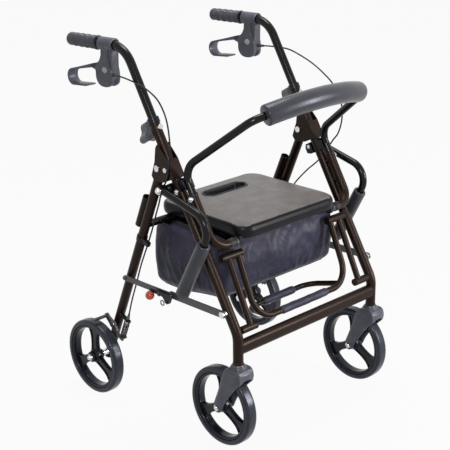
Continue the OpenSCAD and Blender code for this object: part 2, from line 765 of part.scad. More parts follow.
module footrest_sleeves() color(cloth_navy) {
  sleeve(foot_bar, 86, foot_r);
  sleeve(heel_bar, 58, heel_r);
}

// seat
module seat_outline(inset, corner) {
  x = seat_half_w - inset - corner;
  y0 = seat_front + inset + corner;
  y1 = seat_rear - inset - corner;
  for (sx = [-x, x], sy = [y0, y1]) translate([sx, sy]) circle(r = corner);
  translate([-x - corner, y0]) square([2 * (x + corner), y1 - y0]);
  translate([-x, y0 - corner]) square([2 * x, y1 - y0 + 2 * corner]);
}
module hand_slot(h) {
  translate([0, slot_y, seat_z - 1]) linear_extrude(h) {
    for (s = [-1, 1]) translate([s * (slot_len - slot_w) / 2, 0]) circle(r = slot_w / 2);
    translate([-(slot_len - slot_w) / 2, -slot_w / 2]) square([slot_len - slot_w, slot_w]);
  }
}
module seat_board() color(gloss_black) difference() {
  union() {
    translate([0, 0, seat_z]) linear_extrude(board_t) seat_outline(9, seat_corner - 6);
    both() yz_plate(lug_x, lug_t) {
      translate([seat_hinge.y, seat_hinge.z]) circle(r = 11);
      translate([seat_hinge.y - 11, seat_hinge.z]) square([22, seat_z - seat_hinge.z + 2]);
    }
  }
  hand_slot(board_t + 2);
  bar_x(-seat_half_w, seat_half_w, seat_hinge.y, seat_hinge.z, seat_pin_r + run_gap);
}

// cushion levels from its underside to its crown, each an inset and a height
cushion_z = seat_z + board_t + seat_gap;
cushion_levels = [
  [8, 0], [3, 2.5], [0.5, 0.3 * cushion_t], [0, 0.45 * cushion_t], [1.2, 0.62 * cushion_t],
  [4, 0.76 * cushion_t], [9, 0.85 * cushion_t], [24, 0.92 * cushion_t], [60, 0.98 * cushion_t],
  [110, cushion_t]
];
corner_steps = 12;
function cushion_ring(inset) = [
  for (q = [0 : 3], k = [0 : corner_steps])
    let (
      c = max(seat_corner - 0.6 * inset, 8),
      a = 90 * q + 90 * k / corner_steps,
      sx = (q == 0 || q == 3) ? 1 : -1,
      sy = (q == 0 || q == 1) ? 1 : -1,
      my = (seat_front + seat_rear) / 2
    )
      [sx * (seat_half_w - inset - c) + c * cos(a), my + sy * (seat_len / 2 - inset - c) + c * sin(a)]
];
module seat_cushion() color(gloss_black) difference() {
  count = 4 * (corner_steps + 1);
  levels = len(cushion_levels);
  points = [
    for (l = cushion_levels, p = cushion_ring(l[0])) [p.x, p.y, cushion_z + l[1]],
  ];
  walls = [
    for (i = [0 : levels - 2], k = [0 : count - 1], half = [0, 1])
      let (a = i * count + k, b = i * count + (k + 1) % count)
        half == 0 ? [a, b + count, b] : [a, a + count, b + count]
  ];
  under = [for (k = [0 : count - 1]) k];
  top = [for (k = [0 : count - 1]) levels * count - 1 - k];
  polyhedron(points = points, faces = concat(walls, [under, top]), convexity = 4);
  hand_slot(board_t + cushion_t + 4);
}

// rear frame
module rear_leg() difference() {
  union() {
    rod(rear_pt(rear_leg_x, 0, 0), rear_pt(rear_leg_x, rear_axle_d + 16, 0), rear_leg_r);
    bar_x(rear_leg_x - rear_leg_r, rear_leg_x + rear_leg_r, fold_pivot.y, fold_pivot.z, rear_leg_r);
  }
  bar_x(rear_leg_x - 20, rear_leg_x + 20, fold_pivot.y, fold_pivot.z, pin_r + seat_gap);
  bar_x(rear_leg_x - 20, rear_leg_x + 20, rear_axle.y, rear_axle.z, axle_r + seat_gap);
}
module rear_leg_left() color(frame_paint) rear_leg();
module rear_leg_right() color(frame_paint) right() rear_leg();

rear_socket_n = rear_leg_r + socket_r + 0.6;
rear_socket_d = 108;
rear_socket_x = rear_leg_x - 4;
module rear_sockets() color(frame_paint) both() difference() {
  union() {
    rod(rear_pt(rear_socket_x, rear_socket_d, rear_socket_n),
      rear_pt(rear_socket_x, rear_socket_d + 88, rear_socket_n), socket_r);
    for (d = [rear_socket_d + 14, rear_socket_d + 68])
      rod(rear_pt(rear_socket_x, d, rear_leg_r + seat_gap), rear_pt(rear_socket_x, d, rear_socket_n), 5);
  }
  rod(rear_pt(rear_socket_x, rear_socket_d - 1, rear_socket_n),
    rear_pt(rear_socket_x, rear_socket_d + 80, rear_socket_n), back_r + run_gap);
}

module seat_rail() color(gloss_black) {
  rail = rear_pt(0, rail_d, 0);
  half = rear_leg_x - rear_leg_r - seat_gap;
  bar_x(-half, half, rail.y, rail.z, rail_r);
}

// hinge pins, axles and brake pivots that stay with the rear frame
module rear_pins() color(bright_steel) both() {
  bar_x(bracket_in - 5, bracket_out + run_gap, fold_pivot.y, fold_pivot.z, pin_r);
  bar_x(bracket_in - 5, bracket_in - run_gap, fold_pivot.y, fold_pivot.z, 8);
  bar_x(bracket_out + run_gap, bracket_out + 3.5, fold_pivot.y, fold_pivot.z, 8);
  hub_out = rear_wheel_x + tyre_w / 2 + 3 + run_gap;
  bar_x(rear_leg_x - rear_leg_r - 6, hub_out, rear_axle.y, rear_axle.z, axle_r);
  bar_x(rear_leg_x - rear_leg_r - 6, rear_leg_x - rear_leg_r - seat_gap, rear_axle.y, rear_axle.z, 9);
  hub_in = rear_wheel_x - tyre_w / 2 - 3 - run_gap;
  bar_x(rear_leg_x + rear_leg_r + seat_gap, hub_in, rear_axle.y, rear_axle.z, 9);
  dome(hub_out, rear_axle.y, rear_axle.z, 9, 2.5);
  pivot = rear_pt(0, brake_d, 0);
  bar_x(rear_leg_x + rear_leg_r + seat_gap, arm_plate_x + 6.4, pivot.y, pivot.z, pin_r);
  bar_x(arm_plate_x + 6.4, arm_plate_x + 8.5, pivot.y, pivot.z, 8);
}

// lower cables, given as distances across, down the rear leg and behind it
cable_low_right = [
  [cable_out, -12.2, -41], [cable_out, 5.4, -41], [cable_out, 18, -39.5], [cable_out, 31, -37],
  [cable_out, 58, -37], [266, 80, -37], [261, 114, -33], [254, 165, -28.5], [252, 218, -26.5],
  [252, 285, -24], [253, 340, -27], [256, 400, -31], [260, 436, -38], [262, 456, spring_n]
];
cable_low_left = [
  [263.5, 13, -88], [263.5, 40, -79], [263.5, 70, -68], [262, 112, -48], [256, 168, -30], [252, 218, -26.5],
  [252, 285, -24], [253, 340, -27], [256, 400, -31], [260, 436, -38], [262, 456, spring_n]
];
stop_d = spring_top - 8;
function low_cable(list) = [for (q = list) rear_pt(q[0], q[1] * (stop_d - 0.4) / 456, q[2])];
module brake_cables_lower() color(dark_plastic) {
  right() sweep(smooth(low_cable(cable_low_right), 3), cable_r, 8, across);
  sweep(smooth(low_cable(cable_low_left), 3), cable_r, 8, across);
}

// cable clips on the rear legs and the stops that the brake springs push on
module cable_clips() color(dark_plastic) both() {
  clip_d = 218 * (stop_d - 0.4) / 456;
  frame_at(rear_pt(rear_leg_x, clip_d - 6, 0), across, cross(rear_down, across), rear_down) difference() {
    union() {
      cylinder(r = rear_leg_r + 2, h = 12);
      translate([-3, 0, 0]) cube([10, 31, 12]);
    }
    translate([0, 0, -1]) cylinder(r = rear_leg_r + seat_gap, h = 14);
    translate([2, 26.5, -1]) cylinder(r = cable_r + 0.8, h = 14);
  }
  rear_plate(258, 8) {
    translate([stop_d, spring_n - 9]) square([8 - run_gap, -spring_n - 3]);
  }
}

// brake return springs
coil_r = 7;
wire_r = 1.3;
coil_turns = 9;
coil_rings = 8;
spring_len = spring_low - spring_top - 2 * wire_r;
coil_gap = spring_len / coil_turns - 2 * wire_r;
echo(coil_gap = coil_gap);
module brake_springs() color(gloss_black) both() {
  coil = [
    for (i = [0 : coil_turns * coil_rings])
      let (a = 360 * i / coil_rings)
        rear_pt(262 + coil_r * cos(a), spring_top + wire_r + spring_len * i / (coil_turns * coil_rings),
          spring_n + coil_r * sin(a))
  ];
  sweep(coil, wire_r, 6, rear_down);
}

// wheels, drawn about the X axis
module about_x() rotate([0, 90, 0]) children();
module tyre() about_x() rotate_extrude() {
  edge = tyre_h / 2 - 0.5;
  inner = wheel_r - tyre_h;
  translate([inner, -tyre_w / 2]) square([tyre_h - edge, tyre_w]);
  translate([inner, edge - tyre_w / 2]) square([tyre_h, tyre_w - 2 * edge]);
  for (s = [-1, 1]) translate([wheel_r - edge, s * (tyre_w / 2 - edge)]) circle(r = edge);
}
module rim(hub_half, bore) about_x() {
  outer = wheel_r - tyre_h - seat_gap;
  difference() {
    union() {
      rotate_extrude() translate([outer - rim_h, 3 - tyre_w / 2]) square([rim_h, tyre_w - 6]);
      cylinder(r = hub_d / 2, h = 2 * hub_half, center = true);
      for (a = [60, 180, 300]) rotate(a)
        translate([0, 0, -5]) linear_extrude(10) polygon([
          [0, -spoke_w / 2], [outer - rim_h / 2, -spoke_tip_w / 2], [outer - rim_h / 2, spoke_tip_w / 2],
          [0, spoke_w / 2]
        ]);
    }
    cylinder(r = bore, h = 4 * hub_half, center = true);
  }
}
module rear_place() translate([rear_wheel_x, rear_axle.y, rear_axle.z]) children();
module rear_rim_left() color(dark_plastic) rear_place() rim(tyre_w / 2 + 3, axle_r + run_gap);
module rear_rim_right() color(dark_plastic) right() rear_place() rim(tyre_w / 2 + 3, axle_r + run_gap);
module rear_tyre_left() color(gloss_black) rear_place() tyre();
module rear_tyre_right() color(gloss_black) right() rear_place() tyre();

// casters
fork_in = tyre_w / 2 + 3;
fork_t = 6;
module caster_fork() translate([leg_x, leg_y, 0]) {
  crown_z = wheel_d + 5;
  crown_h = collar_top - 3 - crown_z;
  difference() {
    union() {
      for (x = [-fork_in - fork_t, fork_in]) yz_plate(x, fork_t) {
        translate([caster_trail, wheel_r]) circle(r = 14);
        polygon([
          [-29, crown_z + crown_h - 12], [-18, crown_z + crown_h], [20, crown_z + crown_h],
          [32, crown_z - 4], [47, 152], [caster_trail + 14, wheel_r + 2], [caster_trail - 13, wheel_r - 5],
          [31, 114], [4, 156], [-15, 177], [-29, crown_z - 20]
        ]);
      }
      yz_plate(-fork_in - fork_t, 2 * (fork_in + fork_t)) polygon([
        [-29, crown_z + crown_h - 12], [-18, crown_z + crown_h], [20, crown_z + crown_h], [30, crown_z],
        [-24, crown_z], [-25, crown_z - 14], [-29, crown_z - 14]
      ]);
      translate([0, 0, crown_z]) cylinder(r = 17, h = collar_top - crown_z);
      translate([0, 0, crown_z]) cylinder(r = stem_r, h = foot_z + stem_len - 4 - crown_z);
    }
    bar_x(-60, 60, caster_trail, wheel_r, caster_axle_r + seat_gap);
  }
  head = fork_in + fork_t + seat_gap;
  bar_x(-head, head, caster_trail, wheel_r, caster_axle_r);
  bar_x(-head - 4, -head, caster_trail, wheel_r, 7.5);
  bar_x(head, head + 4, caster_trail, wheel_r, 7.5);
}
module caster_fork_left() color(grey_plastic) caster_fork();
module caster_fork_right() color(grey_plastic) right() caster_fork();
module caster_place() translate(caster_axle) children();
module caster_rim() caster_place() rim(fork_in - run_gap, caster_axle_r + run_gap);
module caster_rim_left() color(dark_plastic) caster_rim();
module caster_rim_right() color(dark_plastic) right() caster_rim();
module caster_tyre_left() color(gloss_black) caster_place() tyre();
module caster_tyre_right() color(gloss_black) right() caster_place() tyre();

// brake arms on the rear legs, with a bar that presses on the tyre
module brake_arm() {
  bar_r = 4.5;
  shoe = rear_axle + (wheel_r + bar_r + 6.4) * [0, -sin(8.2), cos(8.2)];
  shoe_d = (shoe - fold_pivot) * rear_down;
  shoe_n = (shoe - fold_pivot) * rear_back;
  difference() {
    rear_plate(arm_plate_x, 6) {
      translate([brake_d, 0]) circle(r = 11);
      translate([shoe_d, shoe_n]) circle(r = 7);
      polygon([
        [brake_d - 9, 5], [shoe_d - 5, shoe_n - 4], [shoe_d + 5, shoe_n + 5], [brake_d + 8, 7],
        [spring_low + 9, spring_n + 6], [spring_low + 9, spring_n - 8], [spring_low + 0.6, spring_n - 8],
        [spring_low + 0.6, spring_n + 12], [brake_d - 4, -10]
      ]);
    }
    rear_plate(arm_plate_x - 1, 8) translate([brake_d, 0]) circle(r = pin_r + run_gap);
  }
  rear_plate(254, 16) translate([spring_low + 0.6, spring_n - 8]) square([4, 16]);
  bar_x(arm_plate_x + 1, rear_wheel_x + tyre_w / 2 + 1, shoe.y, shoe.z, bar_r);
}
module brake_arm_left() color(grey_plastic) brake_arm();
module brake_arm_right() color(grey_plastic) right() brake_arm();

// folding struts
module front_struts() color(dark_plastic) both() {
  difference() {
    flat_link(strut_front, strut_mid, strut_x, strut_t, 18);
    bar_x(strut_x - 1, strut_x + 10, strut_front.y, strut_front.z, strut_pin_r + run_gap);
  }
  bar_x(strut_x + strut_t / 2, strut_x2 + strut_t + 0.4, strut_mid.y, strut_mid.z, strut_pin_r);
  bar_x(strut_x2 + strut_t + 0.4, strut_x2 + strut_t + 2, strut_mid.y, strut_mid.z, 7);
}
module rear_strut() {
  difference() {
    flat_link(strut_mid, strut_rear, strut_x2, strut_t, 14);
    bar_x(strut_x2 - 1, strut_x2 + 10, strut_mid.y, strut_mid.z, strut_pin_r + run_gap);
  }
  bar_x(strut_x, strut_x2 + 1, strut_rear.y, strut_rear.z, 6);
  bar_x(strut_x2 + 1, strut_x2 + strut_t + 3, strut_rear.y, strut_rear.z, 5.5);
}
latch_pin_r = 3;
module rear_struts() color(dark_plastic) {
  rear_strut();
  right() {
    rear_strut();
    bar_x(strut_x2 + 1, latch_x + 8, latch_pivot.y, latch_pivot.z, latch_pin_r);
  }
}

// release latch on the right side only
module strut_latch() color(gloss_black) right() translate([0, strut_mid.y, strut_mid.z]) difference() {
  yz_plate(latch_x, 7) polygon([
    [-15, 1], [-10, -12], [-7, -18], [0, -21], [7, -18], [10, -12], [16, -6], [24, -5], [27, -8], [33, -8],
    [36, -5], [62, -5], [67, -1], [62, 6], [36, 6], [33, 8], [27, 8], [24, 6], [-12, 7]
  ]);
  bar_x(latch_x - 1, latch_x + 8, latch_pivot.y - strut_mid.y, 0, latch_pin_r + run_gap);
  bar_x(latch_x - 1, latch_x + 8, 0, -13, 4.5);
  translate(ball_at - [0, strut_mid.y, strut_mid.z]) sphere(r = ball_r + seat_gap);
}
module release_ball() color(ball_red) right() translate(ball_at) sphere(r = ball_r);

front_leg_left();
front_leg_right();
front_crossbar();
front_sockets();
folding_brackets();
armrest_blocks();
frame_bolts();
seat_bushes();
carry_bag();
leg_collars();
backrest_saddles();
caster_bushes();
footrest_pivots();
brake_cables_upper();
handle_tube_left();
handle_tube_right();
hand_grip_left();
hand_grip_right();
brake_body_left();
brake_body_right();
brake_lever_left();
brake_lever_right();
height_knob_left();
height_knob_right();
backrest_tube();
backrest_pad();
armrest_tube_left();
armrest_tube_right();
armrest_pad_left();
armrest_pad_right();
footrest_links();
footrest_frame();
footrest_sleeves();
seat_cushion();
seat_board();
rear_leg_left();
rear_leg_right();
rear_sockets();
seat_rail();
rear_pins();
brake_cables_lower();
cable_clips();
brake_springs();
rear_rim_left();
rear_rim_right();
rear_tyre_left();
rear_tyre_right();
caster_fork_left();
caster_fork_right();
caster_rim_left();
caster_rim_right();
caster_tyre_left();
caster_tyre_right();
brake_arm_left();
brake_arm_right();
front_struts();
rear_struts();
strut_latch();
release_ball();
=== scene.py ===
# Looks of a rollator transport chair: camera, light, materials, cords, soft goods and moulded pieces.
# Forms are drawn in millimetres and scaled to metres. The chair faces -Y, its left is +X, the floor is z = 0.
import json
import math

import bmesh
import bpy
from mathutils import Matrix, Vector, noise


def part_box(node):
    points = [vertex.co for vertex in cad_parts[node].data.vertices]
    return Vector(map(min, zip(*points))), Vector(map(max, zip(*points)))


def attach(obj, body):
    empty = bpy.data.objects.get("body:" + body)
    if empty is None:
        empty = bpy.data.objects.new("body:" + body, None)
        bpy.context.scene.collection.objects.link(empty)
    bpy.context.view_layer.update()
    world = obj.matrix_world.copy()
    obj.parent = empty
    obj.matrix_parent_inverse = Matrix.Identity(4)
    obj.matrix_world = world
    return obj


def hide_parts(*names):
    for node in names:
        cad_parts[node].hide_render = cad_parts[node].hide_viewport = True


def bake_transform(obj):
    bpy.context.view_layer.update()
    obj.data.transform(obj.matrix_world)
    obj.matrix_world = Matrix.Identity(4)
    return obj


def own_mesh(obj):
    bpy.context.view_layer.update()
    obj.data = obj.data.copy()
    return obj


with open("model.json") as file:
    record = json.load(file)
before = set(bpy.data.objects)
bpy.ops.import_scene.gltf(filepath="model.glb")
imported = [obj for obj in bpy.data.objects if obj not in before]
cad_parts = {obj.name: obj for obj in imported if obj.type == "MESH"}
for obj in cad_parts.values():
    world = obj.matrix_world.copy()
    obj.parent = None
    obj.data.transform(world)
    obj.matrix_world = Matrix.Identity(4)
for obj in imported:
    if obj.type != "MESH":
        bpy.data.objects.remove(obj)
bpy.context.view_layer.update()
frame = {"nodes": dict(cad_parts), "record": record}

MM = 0.001
SIDES = {"left": 1, "right": -1}

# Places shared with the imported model
LEG_X = 245
LEG_Y = -270.4
LEG_BEND_Z = 303
LEG_LEAN = math.radians(31)
LEG_LEN = 547
LEG_R = 12.7
HANDLE_BEND_U = 740
HANDLE_R = 11.1
GRIP_FALL = math.radians(2.2)
GRIP_RUN = 207
GRIP_LEN = 107
FOLD_U = 440
FOLD_N = 28
REAR_LEAN = math.radians(22.8)
REAR_LEG_X = 250
REAR_LEG_R = 12
WHEEL_R = 101.6
REAR_WHEEL_X = 298
CASTER_TRAIL = 52
TYRE_W = 30
TYRE_H = 14
RIM_H = 8
SEAT_HALF_W = 172
SEAT_FRONT = -215.5
SEAT_LEN = 310
SEAT_CORNER = 38
CUSHION_Z = 518.05
CUSHION_T = 24
SLOT_Y = 26.5
SLOT_LEN = 138
SLOT_W = 38
BACK_R = 9.5
BACK_RISE = math.radians(37.9)
SOCKET_N = -33

ACROSS = Vector((1, 0, 0))
LEG_UP = Vector((0, math.sin(LEG_LEAN), math.cos(LEG_LEAN)))
LEG_BACK = Vector((0, math.cos(LEG_LEAN), -math.sin(LEG_LEAN)))
REAR_DOWN = Vector((0, math.sin(REAR_LEAN), -math.cos(REAR_LEAN)))
REAR_BACK = Vector((0, math.cos(REAR_LEAN), math.sin(REAR_LEAN)))
GRIP_DIR = Vector((0, math.cos(GRIP_FALL), -math.sin(GRIP_FALL)))
GRIP_UP = Vector((0, math.sin(GRIP_FALL), math.cos(GRIP_FALL)))
BACK_UP = Vector((0, -math.cos(BACK_RISE), math.sin(BACK_RISE)))


def leg_pt(x, u, n):
    """A point u up the front leg and n behind it."""
    return Vector((x, LEG_Y, LEG_BEND_Z)) + LEG_UP * u + LEG_BACK * n


FOLD_PIVOT = leg_pt(0, FOLD_U, FOLD_N)
HANDLE_BEND = leg_pt(0, HANDLE_BEND_U, 0)
SEAT_HINGE = leg_pt(0, 210, SOCKET_N)
REAR_AXLE_D = (FOLD_PIVOT.z - WHEEL_R) / math.cos(REAR_LEAN)


def rear_pt(x, d, n):
    """A point d down the rear leg from the fold pivot and n behind it."""
    return FOLD_PIVOT + ACROSS * x + REAR_DOWN * d + REAR_BACK * n


def grip_pt(x, s, h):
    """A point s along the grip from the handle bend and h above it."""
    return HANDLE_BEND + ACROSS * x + GRIP_DIR * s + GRIP_UP * h


def metres(p):
    return tuple(c * MM for c in p)


def circle(count):
    """Angles evenly spread over one turn."""
    return [math.tau * k / count for k in range(count)]


QUARTER = [math.pi / 12 * k for k in range(7)]


# Camera
CAMERA_AT = (-1.9706, -2.0401, 1.4803)
CAMERA_AZIMUTH = math.radians(-44.11)
CAMERA_ELEVATION = math.radians(20)
CAMERA_ROLL = math.radians(-0.47)
CAMERA_SENSOR = 36
CAMERA_LENS = 92.71
CAMERA_SHIFT = (-0.0202, 0.0005)


def add_camera():
    flat = math.cos(CAMERA_ELEVATION)
    back = Vector((
        math.sin(CAMERA_AZIMUTH) * flat,
        -math.cos(CAMERA_AZIMUTH) * flat,
        math.sin(CAMERA_ELEVATION),
    ))
    right = (-back).cross(Vector((0, 0, 1))).normalized()
    up = right.cross(-back)
    turned_right = right * math.cos(CAMERA_ROLL) + up * math.sin(CAMERA_ROLL)
    turned_up = up * math.cos(CAMERA_ROLL) - right * math.sin(CAMERA_ROLL)
    data = bpy.data.cameras.new("camera")
    data.sensor_width = CAMERA_SENSOR
    data.lens = CAMERA_LENS
    data.shift_x, data.shift_y = CAMERA_SHIFT
    camera = bpy.data.objects.new("camera", data)
    bpy.context.scene.collection.objects.link(camera)
    turn = Matrix((turned_right, turned_up, back)).transposed().to_4x4()
    camera.matrix_world = Matrix.Translation(CAMERA_AT) @ turn
    bpy.context.scene.camera = camera


add_camera()


# Materials
WHITE = (1, 1, 1, 1)
COOL = (0.80, 0.86, 1, 1)
WARM = (1, 0.84, 0.74, 1)


def math_node(tree, operation, a, b):
    """A math node on two sockets or numbers."""
    made = tree.nodes.new("ShaderNodeMath")
    made.operation = operation
    for socket, value in zip(made.inputs, (a, b)):
        if isinstance(value, bpy.types.NodeSocket):
            tree.links.new(value, socket)
        else:
            socket.default_value = value
    return made.outputs["Value"]


class Look:
    """One procedural material, built around a Principled shader on object coordinates in metres."""

    def __init__(self, **settings):
        self.material = bpy.data.materials.new("look")
        self.material.use_nodes = True
        self.tree = self.material.node_tree
        self.shader = self.tree.nodes["Principled BSDF"]
        self.place = self.node("ShaderNodeTexCoord").outputs["Object"]
        self.normal = None
        for key, value in settings.items():
            self.shader.inputs[key.replace("_", " ").title().replace("Ior", "IOR")].default_value = value

    def node(self, kind, inputs=(), **attributes):
        made = self.tree.nodes.new(kind)
        for key, value in attributes.items():
            setattr(made, key, value)
        for key, value in dict(inputs).items():
            if isinstance(value, bpy.types.NodeSocket):
                self.tree.links.new(value, made.inputs[key])
            else:
                made.inputs[key].default_value = value
        return made

    def noise(self, scale, detail=3.0):
        values = {"Vector": self.place, "Scale": scale, "Detail": detail}
        return self.node("ShaderNodeTexNoise", values).outputs["Fac"]

    def cells(self, scale):
        return self.node("ShaderNodeTexVoronoi", {"Vector": self.place, "Scale": scale}).outputs["Distance"]

    def bands(self, scale, direction):
        values = {"Vector": self.place, "Scale": scale, "Distortion": 0.6, "Detail": 1.0}
        return self.node("ShaderNodeTexWave", values, bands_direction=direction).outputs["Fac"]

    def math(self, operation, a, b):
        return math_node(self.tree, operation, a, b)

    def spread(self, source, low, high, start=0.3, stop=0.7):
        values = {"Value": source, "From Min": start, "From Max": stop, "To Min": low, "To Max": high}
        return self.node("ShaderNodeMapRange", values).outputs["Result"]

    def colour(self, source, dark, light, start=0.3, stop=0.7):
        ramp = self.node("ShaderNodeValToRGB", {"Fac": source})
        for element, position, shade in zip(ramp.color_ramp.elements, (start, stop), (dark, light)):
            element.position = position
            element.color = (*shade, 1)
        self.feed("Base Color", ramp.outputs["Color"])

    def edges(self, radius, worn):
        """Rounds hard edges in the shading and lightens them a little, as handling does."""
        rounded = self.node("ShaderNodeBevel", {"Radius": radius}, samples=4).outputs["Normal"]
        flat = self.node("ShaderNodeNewGeometry").outputs["Normal"]
        meet = self.node("ShaderNodeVectorMath", operation="DOT_PRODUCT")
        self.tree.links.new(rounded, meet.inputs[0])
        self.tree.links.new(flat, meet.inputs[1])
        bent = self.spread(meet.outputs["Value"], 0.9, 0.0, 0.8, 0.97)
        patchy = self.math("MULTIPLY", self.noise(160), bent)
        base = self.shader.inputs["Base Color"].links[0].from_socket
        mixed = self.node("ShaderNodeMix", data_type="RGBA")
        self.tree.links.new(patchy, mixed.inputs["Factor"])
        self.tree.links.new(base, mixed.inputs[6])
        mixed.inputs[7].default_value = (*worn, 1)
        self.feed("Base Color", mixed.outputs[2])
        self.normal = rounded

    def bump(self, source, distance):
        values = {"Height": source, "Distance": distance, "Strength": 1.0}
        if self.normal is not None:
            values["Normal"] = self.normal
        self.normal = self.node("ShaderNodeBump", values).outputs["Normal"]
        self.feed("Normal", self.normal)

    def feed(self, name, source):
        self.tree.links.new(source, self.shader.inputs[name])


def surface(dark, light, mottle, rough, patches, **settings):
    """A look with a mottled colour and patchy gloss; noise scales are counted per metre."""
    look = Look(**settings)
    look.colour(look.noise(*mottle), dark, light)
    look.feed("Roughness", look.spread(look.noise(patches), *rough))
    return look


def painted(dark, light, flake, rough, metal, shine, peel, worn=None, tint=WHITE):
    look = surface(
        dark, light, (flake, 2), rough, 24, metallic=metal, specular_ior_level=shine, specular_tint=tint)
    if worn:
        look.edges(0.0008, worn)
    look.bump(look.noise(110, 1), peel)
    return look.material


def moulded(dark, light, rough, grain, worn):
    look = surface(dark, light, (40, 4), rough, 90, specular_ior_level=0.24, specular_tint=COOL)
    look.edges(0.0009, worn)
    look.bump(look.noise(700, 2), grain)
    return look.material


def rubber(dark, light, rough, grain, sheen):
    look = surface(
        dark, light, (30, 4), rough, 70, specular_ior_level=0.28, specular_tint=COOL, sheen_weight=sheen,
        sheen_roughness=0.4)
    look.bump(look.math("ADD", look.noise(900, 2), look.noise(120, 2)), grain)
    return look.material


def plated(dark, light, rough, worn):
    look = surface(dark, light, (60, 3), rough, 220, metallic=1.0)
    look.edges(0.0005, worn)
    look.bump(look.noise(900, 1), 0.00001)
    return look.material


def foam(dark, light, rough, depth):
    look = surface(
        dark, light, (35, 5), rough, 120, specular_ior_level=0.30, specular_tint=COOL, sheen_weight=0.1,
        sheen_roughness=0.5)
    pores = look.spread(look.cells(900), 0.0, 1.0, 0.1, 0.6)
    look.bump(look.math("ADD", pores, look.noise(90, 2)), depth)
    return look.material


def vinyl(dark, light, rough, depth, shine):
    look = surface(dark, light, (28, 5), rough, 60, specular_ior_level=shine)
    grain = look.math("ADD", look.cells(620), look.noise(1400, 2))
    look.bump(look.math("ADD", grain, look.noise(40, 2)), depth)
    return look.material


def woven(dark, light, thread, depth):
    """A plain weave: threads across, along and up, so that every panel shows two of the three."""
    look = Look(specular_ior_level=0.24, sheen_weight=0.12, sheen_roughness=0.35)
    warp = look.math("MULTIPLY", look.bands(thread, "X"), look.bands(thread, "Z"))
    weft = look.math("MULTIPLY", look.bands(thread, "Y"), look.bands(thread, "Z"))
    threads = look.math("MAXIMUM", warp, weft)
    cloud = look.math("MULTIPLY", look.noise(14, 5), 0.75)
    look.colour(look.math("ADD", cloud, look.math("MULTIPLY", threads, 0.25)), dark, light, 0.3, 0.72)
    look.feed("Roughness", look.spread(look.noise(45), 0.40, 0.54))
    look.bump(look.math("ADD", threads, look.math("MULTIPLY", look.noise(110, 3), 2.0)), depth)
    return look.material


# The record's material slots, then four looks that only pieces of this scene use
LOOKS = {
    "frame_paint": painted(
        (0.0075, 0.0034, 0.0022), (0.0180, 0.0090, 0.0060), 1500, (0.30, 0.38), 0.2, 0.20, 0.00001,
        (0.040, 0.024, 0.017), WARM),
    "black_tube": painted(
        (0.0024, 0.0024, 0.0028), (0.0050, 0.0050, 0.0056), 300, (0.13, 0.19), 0.0, 0.20, 0.000002),
    "dark_plastic": moulded(
        (0.0050, 0.0054, 0.0080), (0.0100, 0.0106, 0.0150), (0.15, 0.22), 0.000003, (0.030, 0.031, 0.038)),
    "grey_plastic": moulded(
        (0.078, 0.080, 0.098), (0.112, 0.115, 0.140), (0.26, 0.34), 0.000006, (0.16, 0.163, 0.185)),
    "grip_rubber": rubber((0.056, 0.0568, 0.067), (0.094, 0.0955, 0.110), (0.30, 0.40), 0.00003, 0.1),
    "dark_metal": painted(
        (0.070, 0.070, 0.074), (0.110, 0.110, 0.116), 900, (0.28, 0.40), 0.3, 0.3, 0.00001,
        (0.20, 0.20, 0.21)),
    "bright_metal": plated((0.50, 0.50, 0.52), (0.72, 0.72, 0.74), (0.16, 0.30), (0.8, 0.8, 0.82)),
    "foam": foam((0.033, 0.033, 0.040), (0.043, 0.043, 0.051), (0.27, 0.32), 0.000007),
    # The cushion top's grey-brown is a dark grey of its own, lightened with painted reflection of the bright
    # surroundings
    "seat_cover": vinyl((0.110, 0.098, 0.093), (0.154, 0.139, 0.133), (0.34, 0.44), 0.00010, 0.26),
    "board": moulded(
        (0.008, 0.008, 0.009), (0.014, 0.014, 0.015), (0.36, 0.5), 0.00003, (0.03, 0.03, 0.032)),
    "bag_cloth": woven((0.0135, 0.0130, 0.027), (0.047, 0.0450, 0.080), 240, 0.00006),
    "tyre": rubber((0.0200, 0.0215, 0.0285), (0.0350, 0.0375, 0.0490), (0.20, 0.27), 0.000002, 0.0),
    "red_ball": painted((0.52, 0.060, 0.028), (0.66, 0.095, 0.045), 120, (0.12, 0.2), 0.0, 0.5, 0.00001),
    "webbing": woven((0.008, 0.008, 0.010), (0.020, 0.020, 0.024), 190, 0.00016),
    # The black of the same vinyl, on the cushion's rounded edge and skirt, against which the top's painted
    # reflection stands out
    "seat_edge": vinyl(
        (0.0035, 0.0033, 0.0048), (0.0070, 0.0066, 0.0092), (0.28, 0.36), 0.000004, 0.15),
    "knob_grey": moulded(
        (0.145, 0.148, 0.160), (0.168, 0.172, 0.186), (0.32, 0.40), 0.00001, (0.20, 0.204, 0.215)),
    "pale_plate": moulded(
        (0.40, 0.41, 0.42), (0.50, 0.51, 0.52), (0.24, 0.34), 0.00001, (0.55, 0.55, 0.56)),
}
for name, material in LOOKS.items():
    material.name = name

for subpart in frame["record"]["subparts"]:
    mesh = frame["nodes"][subpart["node"]].data
    if not mesh.materials:
        mesh.materials.append(None)
    for slot in frame["nodes"][subpart["node"]].material_slots:
        slot.material = LOOKS[subpart["material_slot"]]


